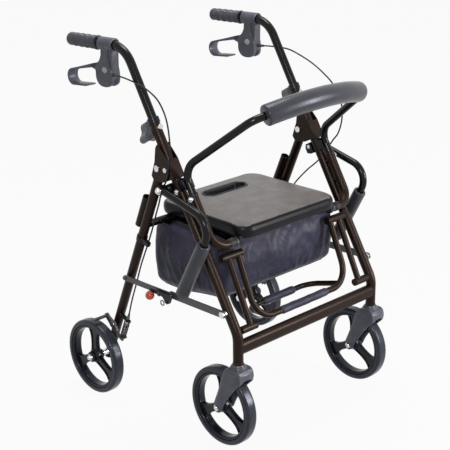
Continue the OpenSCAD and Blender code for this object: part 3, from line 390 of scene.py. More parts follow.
# Form building
class Form:
    """Points and faces of one piece, in millimetres."""

    def __init__(self):
        self.points = []
        self.faces = []

    def add(self, points, faces):
        base = len(self.points)
        self.points += [Vector(p) for p in points]
        self.faces += [[base + i for i in face] for face in faces]
        return self

    def rings(self, rows, wrap=False, caps=(True, True), open_ring=False):
        """Joins rows of points, each a closed ring, or a strip if open_ring."""
        count = len(rows[0])
        turns = count - 1 if open_ring else count
        spans = len(rows) if wrap else len(rows) - 1
        faces = []
        for i in range(spans):
            a = i * count
            b = (i + 1) % len(rows) * count
            for k in range(turns):
                n = (k + 1) % count
                faces.append((a + k, a + n, b + n, b + k))
        if not wrap and not open_ring:
            if caps[0]:
                faces.append(tuple(range(count - 1, -1, -1)))
            if caps[1]:
                faces.append(tuple((len(rows) - 1) * count + k for k in range(count)))
        return self.add([p for row in rows for p in row], faces)

    def lathe(self, profile, at, axis, segments=48, wrap=False, caps=(True, True)):
        """Turns a profile of (along, radius) pairs about an axis through a point."""
        axis = Vector(axis).normalized()
        side = axis.orthogonal().normalized()
        other = axis.cross(side)
        ways = [side * math.cos(a) + other * math.sin(a) for a in circle(segments)]
        rows = []
        for along, radius in profile:
            middle = Vector(at) + axis * along
            rows.append([middle + way * radius for way in ways])
        return self.rings(rows, wrap, caps)

    def tube(self, path, radius, sides=12, wrap=False):
        """A round tube along a path."""
        count = len(path)
        side = None
        rows = []
        for i, p in enumerate(path):
            before = path[i - 1] if wrap or i else path[0]
            after = path[(i + 1) % count] if wrap or i < count - 1 else path[-1]
            way = (after - before).normalized()
            side = way.orthogonal() if side is None else side - way * side.dot(way)
            side.normalize()
            other = way.cross(side)
            rows.append([p + (side * math.cos(a) + other * math.sin(a)) * radius for a in circle(sides)])
        return self.rings(rows, wrap)

    def prism(self, outline, place, low, high):
        """An outline of (a, b) pairs, carried from low to high by place(a, b, c)."""
        return self.rings([[place(a, b, c) for a, b in outline] for c in (low, high)])


def smooth_route(points, steps):
    """A smooth curve through the points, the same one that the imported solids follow."""
    p = [Vector(q) for q in points]
    out = []
    for i in range(len(p) - 1):
        a = p[max(i - 1, 0)]
        b = p[i]
        c = p[i + 1]
        d = p[min(i + 2, len(p) - 1)]
        for k in range(steps):
            t = k / steps
            bend = (a * 2 - b * 5 + c * 4 - d) * t + (b * 3 - a - c * 3 + d) * t * t
            out.append(b + ((c - a) + bend) * (t / 2))
    return out + [p[-1]]


def route_length(path):
    return sum((b - a).length for a, b in zip(path, path[1:]))


def round_corners(points, radius, steps=5):
    """An outline with its corners rounded off."""
    p = [Vector(q) for q in points]
    out = []
    for i, corner in enumerate(p):
        back = p[i - 1] - corner
        ahead = p[(i + 1) % len(p)] - corner
        start = corner + back.normalized() * min(radius, 0.46 * back.length)
        stop = corner + ahead.normalized() * min(radius, 0.46 * ahead.length)
        for k in range(steps + 1):
            t = k / steps
            out.append(start * (1 - t) ** 2 + corner * (2 * t * (1 - t)) + stop * t ** 2)
    return [tuple(q) for q in out]


def shrink(outline, by):
    """A closed outline drawn in by a distance, point by point."""
    p = [Vector(q) for q in outline]
    turn = sum(a.x * b.y - b.x * a.y for a, b in zip(p, p[1:] + p[:1]))
    out = []
    for i, q in enumerate(p):
        along = p[(i + 1) % len(p)] - p[i - 1]
        inward = Vector((-along.y, along.x)).normalized() * math.copysign(1, turn)
        out.append(tuple(q + inward * by))
    return out


def stadium(half_len, radius, steps=14):
    """A ring of (a, b) pairs round a slot that runs along a."""
    ring = []
    for end in (1, -1):
        for k in range(steps + 1):
            a = math.pi * (k / steps - 0.5)
            ring.append((end * (half_len + radius * math.cos(a)), end * radius * math.sin(a)))
    return ring


def arc(middle, radius, start, stop, steps):
    """Points of a circle from one angle to another, in degrees."""
    angles = [math.radians(start + (stop - start) * k / steps) for k in range(steps + 1)]
    return [(middle[0] + radius * math.cos(a), middle[1] + radius * math.sin(a)) for a in angles]


def plan_ring(half_x, half_y, corner, bends, steps):
    """Points round a rectangle with round corners about the origin, with their outward directions."""
    ring = []
    for q, (sx, sy) in enumerate(((1, 1), (-1, 1), (-1, -1), (1, -1))):
        for k in range(bends + 1):
            a = math.pi / 2 * (q + k / bends)
            way = Vector((math.cos(a), math.sin(a), 0))
            ring.append((Vector((sx * half_x, sy * half_y, 0)) + way * corner, way))
        last, way = ring[-1]
        along = Vector((-way.y, way.x, 0))
        reach = 2 * (half_y if q % 2 else half_x)
        for k in range(1, steps):
            ring.append((last + along * (reach * k / steps), way))
    return ring


SHARP = math.radians(35)


def piece(
        name, form, look, body, slot=None, mirror=1, bevel=0.0, segments=2, subdivide=0, thick=0.0, melt=None,
        replaces=()):
    """melt is a grain in millimetres and a number of passes: the form's solids run into one with rounded joints.
    """
    made = bmesh.new()
    points = [made.verts.new((p.x * mirror * MM, p.y * MM, p.z * MM)) for p in form.points]
    for face in form.faces:
        made.faces.new([points[i] for i in face])
    bmesh.ops.recalc_face_normals(made, faces=made.faces)
    if bevel:
        hard = [e for e in made.edges if len(e.link_faces) == 2 and e.calc_face_angle() > SHARP]
        bmesh.ops.bevel(
            made, geom=hard, offset=bevel * MM, segments=segments, profile=0.6, affect="EDGES",
            clamp_overlap=True)
    mesh = bpy.data.meshes.new(name)
    made.to_mesh(mesh)
    made.free()
    made_object = bpy.data.objects.new(name, mesh)
    bpy.context.scene.collection.objects.link(made_object)
    if thick:
        solid = made_object.modifiers.new("thick", "SOLIDIFY")
        solid.thickness = thick * MM
        solid.offset = -1
    if subdivide:
        finer = made_object.modifiers.new("finer", "SUBSURF")
        finer.levels = subdivide
        finer.render_levels = subdivide
    if melt:
        joined = made_object.modifiers.new("joined", "REMESH")
        joined.mode = "VOXEL"
        joined.voxel_size = melt[0] * MM
        eased = made_object.modifiers.new("eased", "SMOOTH")
        eased.factor = 0.5
        eased.iterations = melt[1]
    if thick or subdivide or melt:
        graph = bpy.context.evaluated_depsgraph_get()
        mesh = bpy.data.meshes.new_from_object(made_object.evaluated_get(graph))
        made_object.modifiers.clear()
        made_object.data = mesh
    for polygon in mesh.polygons:
        polygon.use_smooth = True
    mesh.set_sharp_from_angle(angle=SHARP)
    mesh.materials.clear()
    mesh.materials.append(LOOKS[look])
    if body:
        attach(made_object, body)
    if replaces:
        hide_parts(*replaces)
    return made_object


def pair(name, form, look, body, replaces=None, **more):
    """A form on the left and its mirror image on the right; {} in a body or node stands for the side."""
    made = []
    for side, sign in SIDES.items():
        hidden = [replaces.format(side)] if replaces else []
        made.append(piece(
            f"{name}_{side}", form, look, body.format(side), mirror=sign, replaces=hidden, **more))
    return made


# Brake cables, along the routes of their solids
CABLE_R = 2
CABLE_START_Y = HANDLE_BEND.y + 36.85
CABLE_START_Z = HANDLE_BEND.z - 74
CABLE_OUT = 267.9
SPRING_X = 262
SPRING_N = -41
BRAKE_D = REAR_AXLE_D - 102
SPRING_TOP = BRAKE_D - 42
SPRING_LOW = BRAKE_D + 10
STOP_D = SPRING_TOP - 8
LOWER_RUN = 456
FERRULE = [(0, 2.2), (0, 4.2), (7, 4.2), (8, 3.4), (15, 3.1), (16, 2.2)]


def from_leg(x, dy, z):
    """A point of an upper route, with its depth counted from a line 263 behind the foot of the front leg."""
    return (x, LEG_Y + 263 + dy, z)


UPPER_ROUTES = {
    "right": [
        (-250, CABLE_START_Y, CABLE_START_Z), (-257, CABLE_START_Y - 44, CABLE_START_Z + 1),
        from_leg(-262, 63, 861), from_leg(-263, 26, 854), from_leg(-262, -14, 835), from_leg(-262, -38, 808),
        from_leg(-262, -51, 776), from_leg(-263, -58, 735), from_leg(-265, -61, 708),
        from_leg(-CABLE_OUT, -59, 686), from_leg(-CABLE_OUT, -54, 664),
    ],
    "left": [
        (250, CABLE_START_Y, CABLE_START_Z), (257, CABLE_START_Y - 44, CABLE_START_Z + 3),
        from_leg(261, 60, 866), from_leg(260, 20, 858), from_leg(257, -30, 843), from_leg(252, -75, 824),
        from_leg(249, -112, 801), from_leg(248, -138, 768), from_leg(249, -146, 734),
        from_leg(253, -140, 700), from_leg(259, -124, 668), from_leg(263, -104, 646),
        from_leg(263.5, -88, 622),
    ],
}
LOWER_HEADS = {
    "right": [
        (CABLE_OUT, -12.2, -41), (CABLE_OUT, 5.4, -41), (CABLE_OUT, 18, -39.5), (CABLE_OUT, 31, -37),
        (CABLE_OUT, 58, -37), (266, 80, -37), (261, 114, -33), (254, 165, -28.5),
    ],
    "left": [(263.5, 13, -88), (263.5, 40, -79), (263.5, 70, -68), (262, 112, -48), (256, 168, -30)],
}
LOWER_TAIL = [
    (252, 218, -26.5), (252, 285, -24), (253, 340, -27), (256, 400, -31), (260, 436, -38),
    (SPRING_X, LOWER_RUN, SPRING_N),
]


def add_cable(name, points, node, end_share):
    path = smooth_route(points, 4)
    cable = piece(name, Form().tube(path, CABLE_R), "dark_plastic", None, replaces=[node])
    turn = path[int(end_share * (len(path) - 1))]
    metres(path[0])
    metres(turn)
    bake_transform(cable)
    metres(path[0])
    route_length(path) * MM
    [metres(p) for p in path]
    return path


def add_cables():
    scale = (STOP_D - 0.4) / LOWER_RUN
    for side, sign in SIDES.items():
        upper = add_cable(
            f"brake_cable_upper_{side}", UPPER_ROUTES[side],
            "brake_cables_upper", 1)
        route = [rear_pt(x * sign, d * scale, n) for x, d, n in LOWER_HEADS[side] + LOWER_TAIL]
        lower = add_cable(
            f"brake_cable_lower_{side}", route, "brake_cables_lower", 0.4)
        form = Form().lathe(FERRULE, upper[0], upper[1] - upper[0], 20, wrap=True)
        piece(f"cable_ferrule_{side}", form, "grey_plastic", f"handle_{side}")
        form = Form().lathe(FERRULE, lower[-1], lower[-2] - lower[-1], 20, wrap=True)
        piece(f"cable_stop_{side}", form, "dark_metal", "rear_frame")


add_cables()


# Seat cushion: rings from its underside, round the side and over the crown into the hand slot
SEAT_MID = SEAT_FRONT + SEAT_LEN / 2
CUSHION_SIDE = [(8, 0), (3, 2.5 / CUSHION_T), (0.5, 0.3), (0, 0.45)]
CUSHION_CROWN = [(0, 0.45), (1.2, 0.62), (4, 0.76), (9, 0.85), (24, 0.92), (60, 0.98), (110, 1)]
CUSHION_SHARES = (
    0.008, 0.024, 0.05, 0.09, 0.15, 0.24, 0.36, 0.5, 0.64, 0.77, 0.87, 0.93, 0.965, 0.99, 1)
CUSHION_STEPS = 16
SLOT_SINK = 2.6
SEAT_WAVE = 0.7
# Width of the cushion's black edge band; inside it the top is painted lighter, as a painted reflection
SEAT_EDGE_W = 7.5
SLOT_HALF = (SLOT_LEN - SLOT_W) / 2


def seat_ring(inset, z):
    """A level ring inside the seat's outline, z above the cushion's underside."""
    corner = SEAT_CORNER - 0.6 * inset
    half_x = SEAT_HALF_W - inset - corner
    half_y = SEAT_LEN / 2 - inset - corner
    middle = Vector((0, SEAT_MID, CUSHION_Z + z))
    return [p + middle for p, way in plan_ring(half_x, half_y, corner, CUSHION_STEPS, CUSHION_STEPS)]


def crown(inset):
    """Height of the cushion's top at a distance in from its edge."""
    for (a, low), (b, high) in zip(CUSHION_CROWN, CUSHION_CROWN[1:]):
        if inset <= b:
            return CUSHION_T * (low + (high - low) * (inset - a) / (b - a))
    return CUSHION_T


def edge_distance(p):
    """How far a point lies in from the seat's outline."""
    dx = abs(p.x) - (SEAT_HALF_W - SEAT_CORNER)
    dy = abs(p.y - SEAT_MID) - (SEAT_LEN / 2 - SEAT_CORNER)
    return SEAT_CORNER - math.hypot(max(dx, 0), max(dy, 0)) - min(max(dx, dy), 0)


def slot_edge(x, y):
    """The point of the slot's edge that a point of the seat's outline runs in to."""
    middle = Vector((max(-SLOT_HALF, min(SLOT_HALF, 0.5 * x)), SLOT_Y))
    way = Vector((0, math.copysign(1, y - SLOT_Y)))
    if abs(0.5 * x) >= SLOT_HALF:
        way = (Vector((x, y)) - middle).normalized()
    return middle + way * (SLOT_W / 2 + 0.3)


def add_cushion():
    rim = [p.to_2d() for p in seat_ring(0, 0)]
    inner = [slot_edge(p.x, p.y) for p in rim]
    rows = [seat_ring(inset, height * CUSHION_T) for inset, height in CUSHION_SIDE]
    for share in CUSHION_SHARES:
        row = []
        for outer, s in zip(rim, inner):
            q = outer + (s - outer) * share
            gap = (q - s).length
            z = crown((q - outer).length)
            z -= SLOT_SINK * max(0, 1 - gap / 7) ** 2
            z += SEAT_WAVE * noise.noise(Vector((q.x * 0.014, q.y * 0.017, 3.1))) * min(1, gap / 30)
            row.append(Vector((q.x, q.y, CUSHION_Z + z)))
        rows.append(row)
    for height in (12, 2, 0):
        rows.append([Vector((s.x, s.y, CUSHION_Z + height)) for s in inner])
    form = Form().rings(rows, wrap=True)
    cushion = piece("seat_pad", form, "seat_cover", "seat", subdivide=1, replaces=["seat_cushion"])
    # The top keeps seat_cover, lightened with painted reflection; a band SEAT_EDGE_W wide round the outline
    # takes the black seat_edge copy of the same vinyl
    cushion.data.materials.append(LOOKS["seat_edge"])
    for polygon in cushion.data.polygons:
        if edge_distance(polygon.center / MM) < SEAT_EDGE_W:
            polygon.material_index = 1


def add_slot_rim():
    section = [
        (-1.4, -11), (-1.4, 22), (-0.6, 24.4), (1.4, 25.6), (3.8, 25.4), (5.6, 23.8), (6.0, 21), (1, 20),
        (-0.2, 18), (-0.2, -11)]
    rows = []
    for out, height in section:
        ring = stadium(SLOT_HALF, SLOT_W / 2 - 0.1 + out)
        rows.append([Vector((a, SLOT_Y + b, CUSHION_Z + height)) for a, b in ring])
    piece("seat_slot_rim", Form().rings(rows, wrap=True), "board", "seat")


def add_skirt():
    section = [
        (9.2, -9), (6.5, -11.2), (3.8, -10.9), (1.9, -8.6), (0.7, -4), (0.1, 1), (-0.15, 6), (0, 9.6),
        (0.7, 10.6), (3, 9), (9.2, 4)]
    rows = [seat_ring(inset, height) for inset, height in section]
    piece("seat_skirt", Form().rings(rows, wrap=True), "seat_edge", "seat", slot="seat_cover")


add_cushion()
add_slot_rim()
add_skirt()


# Backrest and armrest pads
PAD_ARC_R = 440
PAD_HALF_ANGLE = math.asin(164 / PAD_ARC_R) - math.radians(0.3)
PAD_R = 25.5
PAD_ROUND = 5
KNEE = leg_pt(0, 412, SOCKET_N)
PAD_CENTRE = KNEE + BACK_UP * (272 - PAD_ARC_R)
PAD_NORMAL = ACROSS.cross(BACK_UP)


def pad_row(angle, radius, sides=40):
    """A section of the backrest pad, a little uneven on its outside."""
    out = ACROSS * math.sin(angle) + BACK_UP * math.cos(angle)
    middle = PAD_CENTRE + out * PAD_ARC_R
    row = []
    for a in circle(sides):
        way = out * math.cos(a) + PAD_NORMAL * math.sin(a)
        lump = 0.35 * noise.noise((middle + way * radius) * 0.03) if radius > 20 else 0
        row.append(middle + way * (radius + lump))
    return row


def add_backrest_pad():
    flat_r = PAD_R - PAD_ROUND
    end_rise = [(0, flat_r - 2), (0.3, flat_r)]
    end_rise += [(PAD_ROUND * (1 - math.cos(a)), flat_r + PAD_ROUND * math.sin(a)) for a in QUARTER[1:]]
    rows = []
    for along, radius in end_rise:
        rows.append(pad_row(-PAD_HALF_ANGLE + along / PAD_ARC_R, radius))
    body_half = PAD_HALF_ANGLE - PAD_ROUND / PAD_ARC_R
    for k in range(1, 48):
        rows.append(pad_row(body_half * (k / 24 - 1), PAD_R))
    for along, radius in reversed(end_rise):
        rows.append(pad_row(PAD_HALF_ANGLE - along / PAD_ARC_R, radius))
    for share in (1, 0.9, -0.9, -1):
        rows.append(pad_row(PAD_HALF_ANGLE * share, BACK_R + 0.2))
    pad = piece("backrest_roll", Form().rings(rows, wrap=True), "foam", "backrest", replaces=["backrest_pad"])


add_backrest_pad()

ARM_PIVOT = leg_pt(280, 386, 22.5)
ARM_FALL = math.radians(13.5)
ARM_RAKE = math.radians(28.4)
ARM_CORNER = ARM_PIVOT + Vector((0, -math.cos(ARM_FALL), -math.sin(ARM_FALL))) * 180
ARM_DOWN = Vector((0, math.sin(ARM_RAKE), -math.cos(ARM_RAKE)))
ARM_DROP = 227
ARM_PAD_START = 66
ARM_PAD_R = 16.5
ARM_PAD_ROUND = 5.5


def add_armrest_pads():
    length = ARM_DROP - ARM_PAD_START + 8
    flat_r = ARM_PAD_R - ARM_PAD_ROUND
    profile = [(2, BACK_R + 0.2), (0.4, BACK_R + 2), (0, BACK_R + 3.6)]
    for a in QUARTER[1:]:
        profile.append((ARM_PAD_ROUND * (1 - math.cos(a)), flat_r + ARM_PAD_ROUND * math.sin(a)))
    for k in range(1, 24):
        t = k / 24
        swell = 0.5 * math.sin(math.pi * t) + 0.5 * t ** 3
        profile.append((ARM_PAD_ROUND + (length - 10) * t, ARM_PAD_R + swell))
    seam = length - 9
    profile += [
        (seam, 16.9), (seam + 1, 16.2), (seam + 2, 16.9), (length - 2.2, 16.8), (length - 0.6, 16.0),
        (length, 14.2), (length, 9), (length - 0.6, 6), (length - 0.6, 1.2)]
    start = ARM_CORNER + ARM_DOWN * ARM_PAD_START
    form = Form().lathe(profile, start, ARM_DOWN, 36, caps=(False, True))
    for pad in pair("armrest_sleeve", form, "foam", "armrest_{}", "armrest_pad_{}"):
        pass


add_armrest_pads()

# Footrest sleeves
FOOT_BAR = Vector((0, -256.4, 313))
HEEL_BAR = FOOT_BAR + Vector((0, 89, -13))
SLEEVE_R = 10.3
SLEEVE_FOLD = 0.75


def sleeve_ring(x, at, radii):
    return [
        Vector((x, at.y + r * math.cos(a), at.z + r * math.sin(a)))
        for a, r in zip(circle(len(radii)), radii)
    ]


def add_sleeve(name, at, half, tube_r, seed):
    """A cloth sleeve round a bar of the footrest, with folds and drawn-in ends."""
    rows = []
    steps = 44
    sides = 32
    for i in range(steps + 1):
        t = i / steps
        x = -half + 2 * half * t
        swell = 1 - max(0, abs(2 * t - 1) - 0.93) / 0.07 * 0.28
        radii = []
        for a in circle(sides):
            fold = noise.noise(Vector((x * 0.055, 1.6 * math.cos(a), 1.6 * math.sin(a) + seed)))
            radii.append((SLEEVE_R + SLEEVE_FOLD * fold) * swell)
        rows.append(sleeve_ring(x, at, radii))
    for x in (half - 1, 1 - half):
        rows.append(sleeve_ring(x, at, [tube_r + 0.15] * sides))
    form = Form().rings(rows, wrap=True)
    sleeve = piece(name, form, "bag_cloth", "footrest", subdivide=1, replaces=["footrest_sleeves"])


add_sleeve("footrest_sleeve_front", FOOT_BAR, 86, 8, 0.0)
add_sleeve("footrest_sleeve_heel", HEEL_BAR, 58, 7, 5.0)

# Carry bag
BAG_FRONT = LEG_Y + 98
BAG_REAR = BAG_FRONT + 253
BAG_HALF_W = 203
BAG_MID = (BAG_FRONT + BAG_REAR) / 2
BAG_CORNER = 22
BAG_LEVELS = 56
BAG_STEPS = 80
BAG_CLOTH_T = 1.2


def bag_ring(inset):
    """Points round the bag's plan with their outward directions."""
    corner = max(BAG_CORNER - 0.3 * inset, 6)
    half_x = BAG_HALF_W - inset - corner
    half_y = (BAG_REAR - BAG_FRONT) / 2 - inset - corner
    middle = Vector((0, BAG_MID, 0))
    return [(middle + p, way) for p, way in plan_ring(half_x, half_y, corner, 6, BAG_STEPS)]


def ease(low, high, value):
    """0 below low, 1 above high and smooth between."""
    t = min(1, max(0, (value - low) / (high - low)))
    return t * t * (3 - 2 * t)


def bag_top(y):
    """Height of the bag's rim, which dips under the seat rail."""
    return 499 + 4 * ease(BAG_FRONT, BAG_FRONT + 50, y) - 14 * ease(6, 34, y)


def bag_floor(y):
    return 346 - 22 * ease(BAG_FRONT, BAG_REAR - 60, y)


def crease(u, v, seed):
    """A fold with flat flanks: high along the zero line of a noise field."""
    return 1 - min(1, 2.2 * abs(noise.noise(Vector((u, v, seed)))))


def bag_wrinkle(p, way, share):
    """How far the cloth stands out from its panel."""
    run = p.x if abs(way.y) > 0.5 else p.y
    panel = 7.0 + 3 * way.x + way.y
    slack = noise.noise(Vector((run * 0.010, p.z * 0.022, panel)))
    down = run + 0.9 * p.z
    up = run - 0.7 * p.z
    folds = crease(down * 0.0085, up * 0.004, panel + 11) + crease(up * 0.010, down * 0.0045, panel + 23)
    fine = crease(down * 0.024, up * 0.016, panel + 37) + crease(up * 0.030, down * 0.013, panel + 53)
    belly = 5.0 * math.sin(math.pi * min(1, share * 1.05)) ** 2
    held = math.sin(math.pi * min(1, 0.06 + share * 0.94)) ** 0.6
    to_corner = BAG_HALF_W - abs(p.x) if abs(way.y) > 0.5 else min(p.y - BAG_FRONT, BAG_REAR - p.y)
    calm = 0.2 + 0.8 * ease(12, 75, to_corner)
    return belly + (5.0 * slack + 3.6 * folds + 2.6 * fine - 4.6) * held * calm


def bag_wall(inner):
    """Rows of one face of the cloth, from the rim down and over the floor."""
    rows = []
    for level in range(BAG_LEVELS + 1):
        share = level / BAG_LEVELS
        turn = max(0, share - 0.84) / 0.16
        inset = 26 * (1 - math.sqrt(max(0, 1 - turn * turn)))
        row = []
        for p, way in bag_ring(inset):
            z = bag_top(p.y) + (bag_floor(p.y) - bag_top(p.y)) * share
            lean = 17 * way.x * ease(472, 500, z)
            q = Vector((p.x - lean, p.y, z + inner * turn))
            row.append(q + way * (bag_wrinkle(q, way, share) - 2 - inner))
        rows.append(row)
    for inset in (36, 50, 70, 92, 112):
        row = []
        for p, way in bag_ring(inset):
            sag = 2.5 * noise.noise(Vector((p.x * 0.012, p.y * 0.012, 4.0)))
            row.append(Vector((p.x, p.y, bag_floor(p.y) + sag + inner)))
        rows.append(row)
    return rows


def area_of(ring):
    total = Vector((0, 0, 0))
    for a, b in zip(ring[1:], ring[2:]):
        total += (a - ring[0]).cross(b - ring[0])
    return total.length / 2


def add_bag():
    rows = bag_wall(0)
    outside = Form().rings(rows, caps=(False, True))
    area = sum(area_of([outside.points[i] for i in face]) for face in outside.faces) * MM * MM
    form = Form().rings(list(reversed(rows)) + bag_wall(BAG_CLOTH_T))
    bag = piece("bag_shell", form, "bag_cloth", None, replaces=["carry_bag"])
    ways = [way for p, way in bag_ring(0)]
    section = [(1.4, 1), (1.8, -4), (1.4, -9), (0.4, -9), (-1.8, -9), (-2.4, -4), (-1.8, 1)]
    hem_rows = [
        [p + way * out + Vector((0, 0, rise)) for p, way in zip(rows[0], ways)] for out, rise in section]
    hem = piece("bag_hem", Form().rings(hem_rows, wrap=True), "webbing", None, slot="bag_cloth")
    piping = piece("bag_piping", Form().tube(rows[-7], 1.6, 8, wrap=True), "webbing", None, slot="bag_cloth")
    for cloth in (bag, hem, piping):
        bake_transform(cloth)


def add_bag_loops():
    """Straps from the bag's front round the seat's hinge tube."""
    strip = []
    for k in range(11):
        a = math.radians(-70 + 32 * k)
        strip.append(SEAT_HINGE + Vector((0, math.cos(a), math.sin(a))) * 12)
    strip += [SEAT_HINGE + Vector((0, 13.5, -14)), Vector((0, BAG_FRONT - 1, 476))]
    form = Form().rings([[p + ACROSS * x for p in strip] for x in (180, 188, 196)], open_ring=True)
    pair("bag_loop", form, "webbing", "front_frame", slot="bag_cloth", thick=BAG_CLOTH_T)


add_bag()
add_bag_loops()


# Hand grips, brake bodies, levers and height knobs
GRIP_RIBS = 24


def add_grips():
    profile = [(0, HANDLE_R + 0.1), (0, 17.4), (1, 18.0), (4, 18.0), (5.5, 16.6)]
    steps = GRIP_RIBS * 4
    for k in range(steps + 1):
        t = k / steps
        swell = 15.4 + 0.9 * math.sin(math.pi * (0.1 + 0.8 * t)) - 0.7 * math.cos(math.tau * 4 * t)
        profile.append((7 + 92 * t, swell + 0.4 * math.cos(math.tau * GRIP_RIBS * t)))
    profile += [(101, 15.4), (103, 16.4), (108, 16.6), (110.5, 15.6), (112, 13), (112.3, 8), (112.4, 1)]
    start = grip_pt(LEG_X, GRIP_RUN - GRIP_LEN, 0)
    form = Form().lathe(profile, start, GRIP_DIR, 40, caps=(False, True))
    pair("grip", form, "grip_rubber", "handle_{}", "hand_grip_{}")


add_grips()


def on_grip(s, h, x):
    return grip_pt(LEG_X + x, s, h)


def screw_head(form, at, way, radius):
    """A domed screw head with a round socket in its middle."""
    r = radius
    profile = [
        (0, r), (0.25 * r, r), (0.5 * r, 0.8 * r), (0.6 * r, 0.5 * r), (0.3 * r, 0.42 * r), (0.3 * r, 0.02)]
    form.lathe(profile, at, way, 20)


PLATE_OUTLINE = [
    (50, -8), (78, -8), (78, -26), (86, -41), (98, -49), (103, -58), (103, -86), (95, -99), (82, -105),
    (58, -105), (45, -97), (40.8, -86), (41, -62), (47, -48), (52, -30)]
CORE_OUTLINE = [
    (46, -8), (76, -8), (76, -30), (80, -44), (68, -60), (68, -84), (78, -102), (62, -103), (50, -94),
    (44, -84), (44, -52), (44, -25)]
STRAP_OUTLINE = [
    (38.6, -10), (57, -10), (59, -30), (55, -48), (49, -62), (47, -84), (41.2, -84), (40.4, -50), (38.6, -25)]
CLAMP_PROFILE = [
    (0, 11.3), (0, 15.2), (1.5, 16.6), (22, 16.6), (23, 15.9), (24.5, 15.9), (25.5, 16.6), (52.5, 16.6),
    (54, 15.2), (54, 11.3)]
BODY_HALF = 14


def add_brake_bodies():
    shell = Form()
    plate = round_corners(PLATE_OUTLINE, 9)
    shell.prism(plate, on_grip, 5.5, BODY_HALF)
    shell.prism(plate, on_grip, -BODY_HALF, -5.5)
    shell.prism(round_corners(CORE_OUTLINE, 4), on_grip, -6.5, 6.5)
    shell.lathe(CLAMP_PROFILE, on_grip(36, 0, 0), GRIP_DIR, 40, wrap=True)
    pair(
        "brake_housing", shell, "grey_plastic", "handle_{}", "brake_body_{}", slot="dark_plastic",
        melt=(1.0, 6))
    strap = Form().prism(round_corners(STRAP_OUTLINE, 3), on_grip, -11.5, 11.5)
    pair("brake_front_strip", strap, "grip_rubber", "handle_{}", bevel=1.5)
    oval = [(66 + 9.5 * math.cos(a), -62 + 7.5 * math.sin(a)) for a in circle(28)]
    badge = Form()
    screws = Form()
    for face in (1, -1):
        badge.prism(oval, on_grip, face * (BODY_HALF - 0.6), face * (BODY_HALF + 0.8))
    for s, h in ((64, -92), (93, -70)):
        for face in (1, -1):
            screw_head(screws, on_grip(s, h, face * (BODY_HALF - 0.4)), ACROSS * face, 2.8)
    pair("brake_plate", badge, "pale_plate", "handle_{}", slot="grey_plastic", bevel=0.6)
    pair("brake_screws", screws, "dark_metal", "handle_{}")


add_brake_bodies()


def add_levers():
    bend = (198.1, -93)
    loop = [(115, -50.6), (132, -55), (160, -62)] + arc(bend, 21.5, 80, -90, 16)
    loop += [(146, -111.6), (143, -110.6), (142.4, -108.8), (143.4, -107.2), (146, -106.6)]
    loop += arc(bend, 17, -90, 80, 14) + [(160, -68.5), (132, -63.6), (117, -61.2)]
    tongue = [(84, -60.2), (126, -55.6), (128, -64), (86, -77.5)] + arc((82, -69), 9, 270, 90, 8)
    form = Form().prism(loop, on_grip, -15, 15)
    form.prism(tongue, on_grip, -4.9, 4.9)
    pair("lever", form, "grey_plastic", "brake_lever_{}", "brake_lever_{}", slot="dark_plastic", bevel=1.3)


add_levers()

KNOB_U = LEG_LEN - 20


def on_knob(a, b, c):
    """A point of a height knob: a across, b down the leg and c away from it."""
    return leg_pt(LEG_X + a, KNOB_U - b, LEG_R + 0.4 + c)


def add_knobs():
    lobes = []
    for a in circle(96):
        near = math.cos(1.5 * (a - math.pi / 6)) ** 2
        reach = 15.0 + 13.8 * near ** 1.5
        lobes.append((math.cos(a) * reach, math.sin(a) * reach))
    collar = [(0, 4.4), (0, 10.2), (1, 11), (7, 11), (9, 13.5), (9, 4.4)]
    middle = on_knob(0, 0, 0)
    form = Form().prism(lobes, on_knob, 8, 32)
    form.lathe(collar, middle, LEG_BACK, 32, wrap=True)
    form.lathe([(31, 9), (32.6, 8), (33, 6.5), (32.6, 1)], middle, LEG_BACK, 32)
    form.lathe([(-1.0, 3.8), (8, 3.8)], middle, LEG_BACK, 20)
    pair(
        "knob", form, "knob_grey", "height_knob_{}", "height_knob_{}", slot="grey_plastic", bevel=2.4,
        segments=3)


add_knobs()

# Wheels
TYRE_IN = WHEEL_R - TYRE_H
RIM_IN = TYRE_IN - RIM_H
HALF = TYRE_W / 2


def tyre_profile():
    curve = TYRE_H / 2 - 0.5
    left = [(-HALF + 1.2, TYRE_IN + 0.1), (-HALF + 0.2, TYRE_IN + 0.8), (-HALF, TYRE_IN + 2.2)]
    left += [(-HALF + curve - curve * math.cos(a), WHEEL_R - curve + curve * math.sin(a)) for a in QUARTER]
    left += [(-4, WHEEL_R)]
    return left + [(-x, r) for x, r in reversed(left)]


def spoke_form(form, place, angle):
    """A tapered spoke with a waist, a flared foot at the rim and a rib along each edge."""
    root = 12
    tip = RIM_IN + 2
    shares = [k / 16 for k in range(17)]

    def turned(a, b, c):
        ca = math.cos(angle)
        sa = math.sin(angle)
        return place(c, a * sa + b * ca, b * sa - a * ca)

    def half(share):
        waist = 2.5 * math.sin(math.pi * min(1, share / 0.8))
        flare = 12 * max(0, (share - 0.6) / 0.4) ** 2.4
        return 12.5 - waist + flare

    def flank(side, inset):
        return [(root + (tip - root) * t, side * (half(t) - inset)) for t in shares]

    form.prism(flank(1, 0) + flank(-1, 0)[::-1], turned, -4, 4)
    for side in (1, -1):
        form.prism(flank(side, 0) + flank(side, 3.5)[::-1], turned, -6.5, 6.5)


SPOKE_ANGLES = [math.radians(a) for a in (60, 180, 300)]


